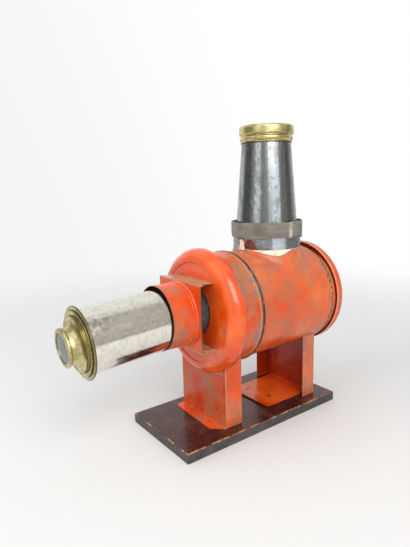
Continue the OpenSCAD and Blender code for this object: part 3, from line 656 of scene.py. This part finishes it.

# %% [markdown]
# The nickel tube carries a painted dark reflection on the photographed side: a band with sooty
# dashes in it. The spun brass front holds dirt in its turned steps. The chimney's iron shows dark and
# light streaks down its side: the room gives some of them as reflections, and the dark ones are painted
# reflections between two arcs. The socket has painted dark reflections too, and one pale blue-white
# painted highlight.

# %% Metal for each piece
mount_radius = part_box("lens_mount")[1].x
# The tube's band is a painted dark reflection with sooty dashes.
dress(metal("nickel_plate", (0.82, 0.80, 0.73), (0.76, 0.725, 0.645), 0.42, AROUND, (*TUBE, 0.027), 120.0,
            (0.12, 0.22), 0.0002, (1.0, 0.1, 1.0), wave=0.35, spots=(0.66, 0.60, 0.52), dark=0.78,
            band=(-0.0285, -0.0035, (0.27, 0.205, 0.16), tube_low.y - collar_low.y)), "lens_tube")
dress(metal("brass_lens_front", (0.60, 0.52, 0.255), (0.42, 0.36, 0.165), 0.50, (1.0, 0.3, 1.0),
            (*TUBE, 0.027), 60.0, (0.26, 0.36), 0.00014, lathe=0.12, wave=0.04,
            grooves=[mount_radius - inward for inward in (0.0, 0.0033, 0.0073)]), "lens_mount", "lens_cell")
dress(metal("brass_crown", (0.70, 0.60, 0.29), (0.44, 0.365, 0.16), 0.44, (0.4, 1.0, 1.0),
            (*CHIMNEY, 0.026), 45.0, (0.24, 0.34), 0.0001, lathe=0.10, wave=0.3), "chimney_crown")
dress(metal("brass_lamp", (0.62, 0.46, 0.18), (0.22, 0.15, 0.06), 0.5, EVEN, (*CHIMNEY, 0.022), 60.0,
            (0.28, 0.45), lathe=0.08),
      "lamp_tank", "filler_cap", "burner", "wick_tube", "wick_spindle", "glass_gallery")
# The iron's three stripes are painted dark reflections.
dress(metal("blued_iron", (0.40, 0.415, 0.42), (0.29, 0.295, 0.285), 0.52, (1.0, 0.25, 1.0),
            (*CHIMNEY, 0.030), 95.0, (0.18, 0.28), 0.0003, (1.0, 0.08, 1.0), wave=0.12,
            spots=(0.52, 0.53, 0.52), painted_reflections=[(-0.0500, -0.0400, 0.70, None),
                                               (-0.0285, -0.0210, 0.75, None),
                                               (-0.0088, 0.0130, 0.70, None)]), "chimney_flue")
# The socket's stripes: two painted dark reflections, with a pale blue-white painted highlight between.
dress(metal("blued_socket", (0.44, 0.46, 0.49), (0.24, 0.245, 0.26), 0.42, (0.3, 1.0, 1.0),
            (*CHIMNEY, 0.034), 60.0, (0.16, 0.32), 0.0003, (0.1, 1.0, 1.0), wave=0.3,
            painted_reflections=[(-0.0270, -0.0200, 0.45, None), (-0.0205, -0.0080, 0.55, (0.74, 0.80, 0.84)),
                     (-0.0060, 0.0340, 0.70, None)]), "chimney_socket")
dress(metal("dull_tin", (0.46, 0.43, 0.38), (0.22, 0.17, 0.13), 0.5, EVEN, (*BARREL, 0.05), 40.0,
            (0.35, 0.55)),
      "condenser_cell", "lamp_floor", "reflector_stud", "condenser_ring", "rear_lens_rings")
dress(metal("mirror_silver", (0.82, 0.81, 0.78), (0.5, 0.44, 0.36), 0.25, EVEN, (*BARREL, 0.05), 50.0,
            (0.06, 0.2)), "reflector")
print("eight metals")

# %% [markdown]
# ## Nails, black paint, cotton and glass
# Small pieces get plain recipes, but none is a single flat colour. Of the two nails in the floor
# tab one is bright and the other rusty, and the two in the front lip were painted over. All four
# are one node, so their material tells them apart by place. The bead over the joint is chipped.

# %% Materials for the small pieces
nail_heads, tree, shader, place_of = start("nail_heads")
xyz = axes(tree, place_of)
pitted = noise(tree, place_of, 900.0, 3.0)
bright = blend_colours(tree, between(tree, pitted, 0.45, 0.65), (0.52, 0.50, 0.47), (0.22, 0.18, 0.15))
rusty = blend_colours(tree, between(tree, pitted, 0.40, 0.62), (0.13, 0.055, 0.022), (0.035, 0.022, 0.016))
colour = blend_colours(tree, between(tree, xyz[0], 0.0, 0.002), bright, rusty)
tab_side, lip_side = -0.020, -0.022
lip_nail = between(tree, xyz[1], tab_side, lip_side)
colour = blend_colours(tree, lip_nail, colour, (0.62, 0.060, 0.004))
metal_share = times(tree, between(tree, xyz[0], 0.002, 0.0),
                    calc(tree, "SUBTRACT", 0.9, times(tree, lip_nail, 0.9)))
link(tree, shader, Base_Color=colour, Metallic=metal_share, Roughness=0.42,
     Normal=bump(tree, pitted, 0.0002))
dress(nail_heads, "foot_nails")

bead_black, tree, shader, place_of = start("bead_black")
chips = worn(tree, place_of, 90.0, 0.36, 0.03)
link(tree, shader, Base_Color=blend_colours(tree, chips["Mask"], (0.022, 0.018, 0.022), (0.20, 0.11, 0.08)),
     Roughness=blend_values(tree, chips["Mask"], 0.26, 0.5))
dress(bead_black, "joint_band", "chimney_rim")

cotton, tree, shader, place_of = start("wick_cotton")
ribs = threads(tree, place_of, 260.0, 1.5, "Z")
link(tree, shader, Base_Color=blend_colours(tree, ribs, (0.62, 0.55, 0.42), (0.80, 0.74, 0.60)),
     Roughness=0.9, Normal=bump(tree, ribs, 0.0004))
dress(cotton, "wick")
print("nails, bead and cotton done")

# %% [markdown]
# The front glass is grey with dust, the condenser less so, and the lamp's glass is clear. The
# condenser's dark tint is painted shade: it stands for the dark lamp house behind it. Dust could be a
# film of its own over the glass, but a film so thin would flicker where the two touch. So dust is a
# roughness and a tint of the glass itself.


# %% Recipe: dusty glass
def glass(name, tint, rough_clean, rough_dusty, dust, transmission=1.0, film_tint=(0.50, 0.48, 0.50)):
    """Clear glass whose roughness and tint rise under dust laid by slow noise."""
    material, tree, shader, place_of = start(name)
    film = noise(tree, place_of, 120.0, 5.0)
    dusty = times(tree, between(tree, film, 0.35, 0.65), dust)
    link(tree, shader, Base_Color=blend_colours(tree, dusty, tint, film_tint),
         Roughness=blend_values(tree, dusty, rough_clean, rough_dusty),
         Transmission_Weight=transmission, IOR=1.5)
    return material


# Painted shade: the condenser's dark tint and part transmission stand for the dark lamp house behind it.
dress(glass("condenser_glass", (0.20, 0.21, 0.21), 0.04, 0.22, 0.5, 0.6), "condenser_lens", "rear_lens")
dress(glass("lamp_glass_clear", (0.92, 0.95, 0.94), 0.02, 0.15, 0.3), "lamp_glass")
dress(glass("front_glass_dusty", (0.085, 0.082, 0.084), 0.12, 0.40, 0.5, 0.2, (0.22, 0.21, 0.215)),
      "front_lens")
print("three kinds of glass")

# %% [markdown]
# ## Surfaces from two parameters
# A piece modelled by hand hides its sizes in its mesh. Here a new piece is a grid of points worked
# out from named sizes: rows follow one parameter, columns the other. The points come out of numpy as
# whole arrays, and the faces are the same small pattern for every grid. Closing a direction joins
# its last row to its first.


# %% Helpers: a smooth step, and a grid that becomes a mesh
def swell(value, low, high):
    """The smooth S from 0 at low to 1 at high: 3t^2 - 2t^3, with t the share of the way."""
    t = np.clip((value - low) / (high - low), 0, 1)
    return t * t * (3 - 2 * t)


def grid_faces(rows, columns, close_rows=False, close_columns=False):
    """Quads of a rows x columns grid: each joins (i, j), (i, j+1), (i+1, j+1) and (i+1, j)."""
    i = np.arange(rows if close_rows else rows - 1)[:, None]
    j = np.arange(columns if close_columns else columns - 1)[None, :]
    ni, nj = (i + 1) % rows, (j + 1) % columns
    corners = [i * columns + j, i * columns + nj, ni * columns + nj, ni * columns + j]
    return np.stack([np.broadcast_to(c, (i.shape[0], j.shape[1])) for c in corners], -1).reshape(-1, 4)


def piece(name, grids, material, body, replaced=None, thickness=0.0, flip=False):
    """One smooth object from grids of (points, faces), with an inward wall if thickness is given."""
    points, faces, offset = [], [], 0
    for place_grid, quads in grids:
        flat = np.asarray(place_grid, float).reshape(-1, 3)
        points.append(flat)
        faces.append(quads[:, ::-1] + offset if flip else quads + offset)
        offset += len(flat)
    points, faces = np.concatenate(points), np.concatenate(faces)
    mesh = bpy.data.meshes.new(name)
    mesh.from_pydata(points.tolist(), [], faces.tolist())
    mesh.polygons.foreach_set("use_smooth", np.ones(len(faces), bool))
    mesh.materials.append(material)
    made = bpy.data.objects.new(name, mesh)
    bpy.context.collection.objects.link(made)
    weld = made.modifiers.new("weld", "WELD")
    weld.merge_threshold = 0.00002
    if thickness:
        wall = made.modifiers.new("wall", "SOLIDIFY")
        wall.thickness, wall.offset = thickness, -1.0
    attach(made, body)
    if replaced:
        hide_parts(replaced)
    print(f"{name}: {len(points)} points, {len(faces)} faces")
    return made


# %% [markdown]
# ## The strap round the socket
# A strip of grey cloth tape binds the chimney's foot. It goes once round, laps over itself on the
# right, and its lower edge has crept into waves. A cloth simulation could hang it, but tape that
# sticks keeps its place, so a formula is enough: one parameter runs round the chimney, the other up
# the strip. Where it laps, the radius grows by one thickness, and the free end lifts a little.

# %% Piece: strap
tape, start_angle, sweep = 0.0007, -10, 396
first, last = math.radians(start_angle), math.radians(start_angle + sweep)
turns = np.linspace(first, last, 440)[:, None]
up = np.linspace(0, 1, 17)[None, :]
lap = swell(turns, first + math.radians(352), first + math.radians(362))
lift = swell(turns, last - math.radians(7), last)
puff = np.sin(math.pi * up) ** 0.5
radius = (socket_high.x + tape + 0.0001 + lap * tape + lift * 0.0003 + 0.0003 * puff
          + 0.0002 * np.sin(11 * turns + 2) * np.sin(2 * turns) * up)
low_edge = (strap_low.z + 0.0003 + 0.0006 * np.sin(3 * turns + 2.4) + 0.0004 * np.sin(8 * turns)
            + 0.0003 * np.sin(17 * turns + 1) + 0.0007 * lap)
high_edge = strap_high.z - 0.0015 + 0.0002 * np.sin(5 * turns) + 0.0002 * np.sin(13 * turns) + 0.0003 * lap
height = low_edge + (high_edge - low_edge) * up
strap_points = np.stack([radius * np.cos(turns), flue_centre + radius * np.sin(turns) + 0 * up,
                         height + 0 * radius], -1)

tape_grey, tree, shader, place_of = start("tape_grey")
around = use(tree, wrap, {"Place": about_axis(tree, place_of, *CHIMNEY), "Radius": 0.035})
cloth = times(tree, *(threads(tree, around["Wrapped"], 420.0, 0.6, axis) for axis in "XY"))
soil = worn(tree, around["Wrapped"], 55.0, 0.55, 0.10, (0.3, 1.0, 1.0))
colour = blend_colours(tree, soil["Mask"], (0.205, 0.187, 0.155), (0.120, 0.109, 0.090))
colour = coat(tree, colour, cloth, 0.25, (0.245, 0.222, 0.187))
# A pale line down the lap's fold is a painted highlight, broken up by the soil's fray.
fold_highlight = between(tree, gap(tree, around["Arc"], -0.0028), 0.0030, 0.0008)
fold_highlight = times(tree, fold_highlight, between(tree, soil["Fray"], 0.36, 0.56))
colour = coat(tree, colour, fold_highlight, 0.85, (0.54, 0.51, 0.44))
link(tree, shader, Base_Color=colour, Roughness=blend_values(tree, soil["Mask"], 0.5, 0.75),
     Normal=bump(tree, cloth, 0.00015), Sheen_Weight=0.2)
piece("strap_tape", [(strap_points, grid_faces(*strap_points.shape[:2]))], tape_grey,
      "chimney_unit", "chimney_strap", thickness=tape)

# %% [markdown]
# ## The shell
# The barrel's shell is one sheet of tin. Round the chimney hole it is drawn up into a low neck with
# an uneven rim. Its rear end is crimped in a little, so that the cap slips over it, and behind the
# chimney it has a dent. Each could be pushed in by hand with a sculpting brush, but then nobody
# could say how deep it is. So the sheet is drawn by three functions: how deep the tin lies under the
# true cylinder, how high the neck's rim stands, and how the neck's flare runs into the barrel.


# %% The sheet's depth and the neck's rim
wave_depth, crimp_depth = 0.00006, 0.00095
dent_slope, dent_step, dent_width = 0.0007, 0.0037, 0.42
tear_depth, dip_depth = 0.0054, 0.0040


def tin_depth(theta, y):
    """Depth of the tin under the true cylinder, for the angle from the top and the place along Y.

    It is the sum of slow waves of 0.1 mm, a crimp that starts 6 mm in front of the cap, deepest on
    top, and a dent: a bell round the top, 4.4 mm deep, that drops steeply just before the cap.
    """
    waves = wave_depth * (1 + np.sin(3 * theta + 60 * y) * np.sin(2 * theta - 90 * y + 1))
    waves = waves * swell(y, -0.010, 0.010)
    crimp = crimp_depth * (0.62 + 0.38 * np.cos(theta)) * swell(y, cap_front - 0.0064, cap_front - 0.0040)
    bell = np.exp(-(2 * np.sin((theta - 0.10) / 2) / dent_width) ** 2)
    dent = dent_slope * swell(y, 0.074, 0.084) + dent_step * swell(y, cap_front - 0.0072, cap_front)
    return waves + crimp + bell * dent


def rim_height(phi):
    """Height of the neck's rim over the floor, for the angle round the chimney from +X.

    It is level but for two dips: a torn V on the photographed side, and a shallow one on the other.
    """
    turned = (phi + math.pi) % (2 * math.pi) - math.pi
    front = swell(turned, *np.radians([-74, -22])) - swell(turned, *np.radians([-24, 6]))
    back = swell(abs(turned), *np.radians([125, 180]))
    ragged_rim = 0.00012 * np.sin(23 * phi) * np.sin(7 * phi + 1)
    return shell_high.z - 0.0002 - tear_depth * front - dip_depth * back + ragged_rim


deepest, lowest = tin_depth(0.06, cap_front), rim_height(math.radians(-22))
print(f"dent {deepest * 1000:.1f} mm deep, rim dips to {lowest:.4f}")

# %% [markdown]
# The upper half is one patch. Round the neck its rows are rings. Outside them the rows open out
# into the rectangle that the half barrel makes when it is unrolled, so the quads stay even. The
# neck widens downwards by the flare, the run over the rise, and meets the barrel by a smooth maximum
# of two heights, which leaves a small fillet. Two tubes joined by a Boolean would leave a sharp line.

# %% Piece: shell
neck_radius = paper_high.x + 0.0008
patch_radius = 0.046
flare, flare_top, fillet = 5.5 / 15, 0.165, 0.0030
half = shell_radius * math.pi / 2
y_front, y_back = shell_low.y, shell_high.y
along_count, across_count = 112, 110
along = np.linspace(y_front, y_back, along_count + 1)
across = np.linspace(half, -half, across_count + 1)
left_edge, right_edge = np.full(along_count, half), np.full(along_count, -half)
edge_s = np.concatenate([left_edge, across[:-1], right_edge, -across[:-1]])
back_edge, front_edge = np.full(across_count, y_back), np.full(across_count, y_front)
edge_y = np.concatenate([along[:-1], back_edge, along[:0:-1], front_edge])
phi = np.unwrap(np.arctan2(edge_y - flue_centre, edge_s))[None, :]

rim = rim_height(phi)
rim_radius = neck_radius + np.clip(flare_top - rim, 0, None) * flare
steps = (np.linspace(0, 1, 20) ** 1.6)[:, None]
reach = rim_radius + (patch_radius - rim_radius) * steps
flat_x, ring_y = reach * np.cos(phi), flue_centre + reach * np.sin(phi)
theta = np.arcsin(flat_x / shell_radius)
depth = tin_depth(theta, ring_y)
barrel_z = barrel_height + (shell_radius - depth) * np.cos(theta)
neck_z = rim - (reach - rim_radius) / flare
soft = fillet * np.clip((reach - rim_radius) / fillet, 0, 1) + 1e-9
share = np.clip(0.5 + 0.5 * (neck_z - barrel_z) / soft, 0, 1)
ring_z = barrel_z + (neck_z - barrel_z) * share + soft * share * (1 - share)
neck_rings = np.stack([flat_x - depth * np.sin(theta) * (1 - share), ring_y, ring_z], -1)


def on_barrel(theta, y):
    """A point of the dented barrel: (R - depth) round the barrel's axis at the angle theta."""
    radius = shell_radius - tin_depth(theta, y)
    return np.stack([radius * np.sin(theta), y + 0 * theta, barrel_height + radius * np.cos(theta)], -1)


spread = np.linspace(0, 1, 31)[1:, None]
ring_s = shell_radius * theta[-1:]
outer_s = ring_s + (edge_s[None, :] - ring_s) * spread
outer_y = ring_y[-1:] + (edge_y[None, :] - ring_y[-1:]) * spread
upper_half = np.concatenate([neck_rings, on_barrel(outer_s / shell_radius, outer_y)])
lower_theta = np.linspace(math.pi / 2, 3 * math.pi / 2, 91)[:, None]
lower_half = on_barrel(lower_theta + 0 * along[None, :], along[None, :] + 0 * lower_theta)
shell_skin = piece("shell_skin", [(upper_half, grid_faces(*upper_half.shape[:2], close_columns=True)),
                                  (lower_half, grid_faces(*lower_half.shape[:2]))],
                   shell_red, "lantern", "body_shell", thickness=0.0006, flip=True)
from_rim = np.full(len(shell_skin.data.vertices), 1.0, np.float32)
from_rim[:reach.size] = np.broadcast_to(rim - ring_z, reach.shape).ravel()
shell_skin.data.attributes.new("from_rim", "FLOAT", "POINT").data.foreach_set("value", from_rim)

# %% [markdown]
# ## The packing paper
# A crumpled roll of cream paper fills the loose seat between neck and chimney. A scrap of it has
# torn off and sticks up in the socket's slit. Paper creases in straight sharp folds, so its waves
# are made of absolute sines, which have a sharp valley where a sine would be round.


# %% Piece: packing paper
def creases(a, b):
    """Sharp folds in two crossing directions: one less the mean of two absolute sines."""
    return 1 - 0.5 * (abs(np.sin(7 * a + 3 * b)) + abs(np.sin(4 * a - 5 * b + 1)))


roll_phi = np.linspace(0, 2 * math.pi, 281)[:-1][None, :]
roll_z = np.linspace(paper_low.z, flue_low.z - 0.0002, 34)[:, None]
free = swell(roll_z, 0.160, 0.164) * swell(roll_z, socket_low.z, socket_low.z - 0.0012)
roll_radius = paper_high.x - 0.0003 * creases(2 * roll_phi, roll_z * 700) + 0.0003 * free
roll = np.stack([roll_radius * np.cos(roll_phi), flue_centre + roll_radius * np.sin(roll_phi),
                 roll_z + 0.0004 * np.sin(9 * roll_phi) * swell(roll_z, 0.170, 0.172)], -1)

scrap_foot, scrap_top = 0.1684, 0.1786
scrap_z = np.linspace(scrap_foot, scrap_top, 24)[:, None]
scrap_u = np.linspace(0, 1, 12)[None, :]
left = np.interp(scrap_z, [scrap_foot, 0.1700, 0.1738, 0.1776, scrap_top],
                 [-0.0040, -0.0041, -0.0034, -0.0040, -0.0036])
right = np.interp(scrap_z, [scrap_foot, 0.1694, 0.1721, 0.1743, 0.1776, scrap_top],
                  [-0.0024, -0.0007, 0.0034, 0.0040, 0.0022, 0.0016])
scrap_x = left + (right - left) * scrap_u + 0.0001 * np.sin(3000 * scrap_z) * (2 * scrap_u - 1)
scrap_radius = 0.0334 + 0.0005 * creases(3 * scrap_u, scrap_z * 500) + 0.0006 * np.sin(math.pi * scrap_u)
scrap_radius = scrap_radius - 0.0005 * swell(scrap_z, 0.1700, scrap_foot)
scrap_y = flue_centre - np.sqrt(scrap_radius ** 2 - scrap_x ** 2)
scrap = np.stack([scrap_x, scrap_y, scrap_z + 0 * scrap_u], -1)

paper_cream, tree, shader, place_of = start("paper_cream")
fibre = noise(tree, place_of, 1400.0, 3.0)
stain = noise(tree, place_of, 160.0, 4.0)
colour = blend_colours(tree, between(tree, stain, 0.45, 0.75), (0.88, 0.80, 0.64), (0.70, 0.55, 0.36))
link(tree, shader, Base_Color=colour, Roughness=0.85, Normal=bump(tree, fibre, 0.0001))
piece("paper_roll", [(roll, grid_faces(*roll.shape[:2], close_columns=True)),
                     (scrap, grid_faces(*scrap.shape[:2])[:, ::-1])],
      paper_cream, "lantern", "packing_paper", thickness=0.0004, flip=True)

# %% [markdown]
# ## The studio
# The floor and background are pale and plain. Light for the surfaces comes from two large soft
# lamps, one on the right and one in front. What polished metal mirrors is drawn in the world, for
# glossy rays only: three windows with dark gaps between them, and a pale wall. A real light tent
# could be built of sheets and lamps, but then every sheet would also light the lantern's matt parts.

# %% Lights
def soft_lamp(name, where, target, size, power, tint, mirrored):
    """A square area lamp at one place, aimed at another; gloss shows it only if it is mirrored."""
    lamp = bpy.data.lights.new(name, "AREA")
    lamp.shape, lamp.size, lamp.energy, lamp.color = "SQUARE", size, power, tint
    held = bpy.data.objects.new(name, lamp)
    bpy.context.collection.objects.link(held)
    held.location = where
    aim = np.array(target, float) - np.array(where, float)
    held.rotation_euler = Vector(aim).to_track_quat("-Z", "Y").to_euler()
    held.visible_glossy = mirrored
    return held


soft_lamp("lamp_right", (0.92, -0.32, 0.85), (0, 0, 0.12), 0.8, 9.0, (1.0, 0.985, 0.96), True)
soft_lamp("lamp_front", (-0.15, -1.05, 0.75), (0, 0, 0.12), 0.8, 6.0, (0.98, 0.99, 1.0), False)
print("two soft lamps")

# %% [markdown]
# The room is a sum of soft-edged patches over the directions of the sky: azimuth goes round, rise is
# the Z of the direction. Glossy rays alone will see it.

# %% World: the room that gloss mirrors
world = bpy.data.worlds.new("room")
bpy.context.scene.world = world
world.use_nodes = True
tree = world.node_tree
background = tree.nodes["Background"]
way = tree.nodes.new("ShaderNodeTexCoord").outputs["Generated"]
xyz = axes(tree, way)
azimuth = calc(tree, "ARCTAN2", xyz[1], xyz[0])
rise = xyz[2]


def window(low, high, soft):
    """1 for azimuths between two angles in degrees, with soft sides."""
    low, high, soft = math.radians(low), math.radians(high), math.radians(soft)
    return within(tree, azimuth, low, high, soft, soft)


pale = (0.92, 0.93, 0.91)
over_floor = between(tree, rise, -0.05, 0.05)
room = blend_colours(tree, between(tree, rise, 0.22, 0.40), (0.24, 0.24, 0.24), (0.60, 0.57, 0.54))
room = blend_colours(tree, between(tree, rise, -0.02, -0.12), room, (0.42, 0.33, 0.28))
side_wall = times(tree, between(tree, azimuth, math.radians(-120), math.radians(-25)),
                  between(tree, azimuth, math.radians(14), math.radians(4)), over_floor)
room = blend_colours(tree, side_wall, room, (0.98, 1.0, 1.0))
near_wall = times(tree, window(10, 46, 6), between(tree, rise, 0.40, 0.22), over_floor)
room = blend_colours(tree, near_wall, room, (0.58, 0.56, 0.54))
window_right = times(tree, window(-21, 13, 6), over_floor)
window_front = times(tree, window(-118, -66, 7), between(tree, rise, 0.28, 0.36))
window_low = times(tree, window(-93, -71, 4), within(tree, rise, -0.12, 0.30, 0.05, 0.05))
room = blend_colours(tree, window_low, room, (1.42, 1.50, 1.48))
room = blend_colours(tree, window_right, room, (1.50, 1.58, 1.68))
room = blend_colours(tree, window_front, room, (1.35, 1.45, 1.38))
wall = calc(tree, "SUBTRACT", 1.0, window(-150, 75, 14))
room = blend_colours(tree, times(tree, wall, between(tree, rise, -0.3, 0.0)), room, pale)
print("three windows and the walls")

# %% [markdown]
# The world gives an even pale light. Its colour depends on who looks: the camera, also through
# glass, sees a pale wall with painted shade that darkens it towards the left of the view and
# downwards, and glossy rays see the room.

# %% World: who sees what
path = tree.nodes.new("ShaderNodeLightPath").outputs
across_view = place(tree, "ShaderNodeVectorMath", {0: way, 1: (0.59, 0.81, 0.35)},
                    operation="DOT_PRODUCT").outputs["Value"]
# Painted shade on the pale wall: darker towards the left of the view and downwards.
shaded_backdrop = blend_colours(tree, between(tree, across_view, -0.44, 0.22), (0.895, 0.910, 0.900),
                         (1.0, 1.0, 1.0))
straight = calc(tree, "MAXIMUM", path["Is Camera Ray"], path["Is Transmission Ray"])
seen = blend_colours(tree, straight, (0.78, 0.79, 0.80), shaded_backdrop)
seen = blend_colours(tree, path["Is Glossy Ray"], seen, room)
link(tree, background, Color=seen, Strength=1.0)
print("world:", len(tree.nodes), "nodes")

# %% [markdown]
# The floor is one pale disc that takes the lantern's shadow. An edge would show as a line, so for
# the camera the disc fades out into the backdrop with the distance from the lantern.

# %% Floor
ring = np.linspace(0, 2 * math.pi, 129)[:-1][:, None]
reach = np.array([0.0001, 0.3, 0.7, 3.0])[None, :]
floor_points = np.stack([reach * np.cos(ring), reach * np.sin(ring), 0 * ring * reach], -1)
floor_mesh = bpy.data.meshes.new("floor")
floor_mesh.from_pydata(floor_points.reshape(-1, 3).tolist(), [],
                       grid_faces(128, 4, close_rows=True)[:, ::-1].tolist())
floor = bpy.data.objects.new("floor", floor_mesh)
bpy.context.collection.objects.link(floor)
floor_pale, tree, shader, place_of = start("floor_pale")
distance = place(tree, "ShaderNodeVectorMath", {0: place_of}, operation="LENGTH").outputs["Value"]
link(tree, shader, Base_Color=(0.70, 0.70, 0.69, 1.0), Roughness=0.9)
clear = place(tree, "ShaderNodeBsdfTransparent")
path = tree.nodes.new("ShaderNodeLightPath").outputs
far = between(tree, distance, 0.22, 0.95)
fade = place(tree, "ShaderNodeMixShader", {0: times(tree, far, path["Is Camera Ray"]),
                                           1: shader.outputs[0], 2: clear.outputs[0]})
tree.links.new(fade.outputs[0], tree.nodes["Material Output"].inputs["Surface"])
floor_mesh.materials.append(floor_pale)
print("floor laid")

# %% [markdown]
# ## Camera
# The camera was matched to the photograph, by points on the board, the barrel, the stage, the lens
# and the chimney. It stands to the right of the lens, about as high as the middle of the flue, and
# looks down a little, with a small roll.

# %% Camera
camera_place = (0.34391, -0.28927, 0.23257)
azimuth_at, elevation, roll = math.radians(53.777), math.radians(10.912), math.radians(-1.635)
back = np.array([math.sin(azimuth_at) * math.cos(elevation), -math.cos(azimuth_at) * math.cos(elevation),
                 math.sin(elevation)])
level = np.array([math.cos(azimuth_at), math.sin(azimuth_at), 0.0])
upward = np.cross(back, level)
right = math.cos(roll) * level + math.sin(roll) * upward
above = -math.sin(roll) * level + math.cos(roll) * upward
turn = Matrix([[right[k], above[k], back[k]] for k in range(3)])
camera_data = bpy.data.cameras.new("camera")
camera_data.sensor_fit, camera_data.sensor_height, camera_data.lens = "VERTICAL", 36.0, 30.52
camera_data.sensor_width = 36.0
camera_data.clip_start, camera_data.clip_end = 0.01, 20.0
camera = bpy.data.objects.new("camera", camera_data)
bpy.context.collection.objects.link(camera)
camera.matrix_world = Matrix.Translation(camera_place) @ turn.to_4x4()
bpy.context.scene.camera = camera
bpy.context.scene.view_settings.view_transform = "Standard"
print("camera at", [round(v, 4) for v in camera.location])
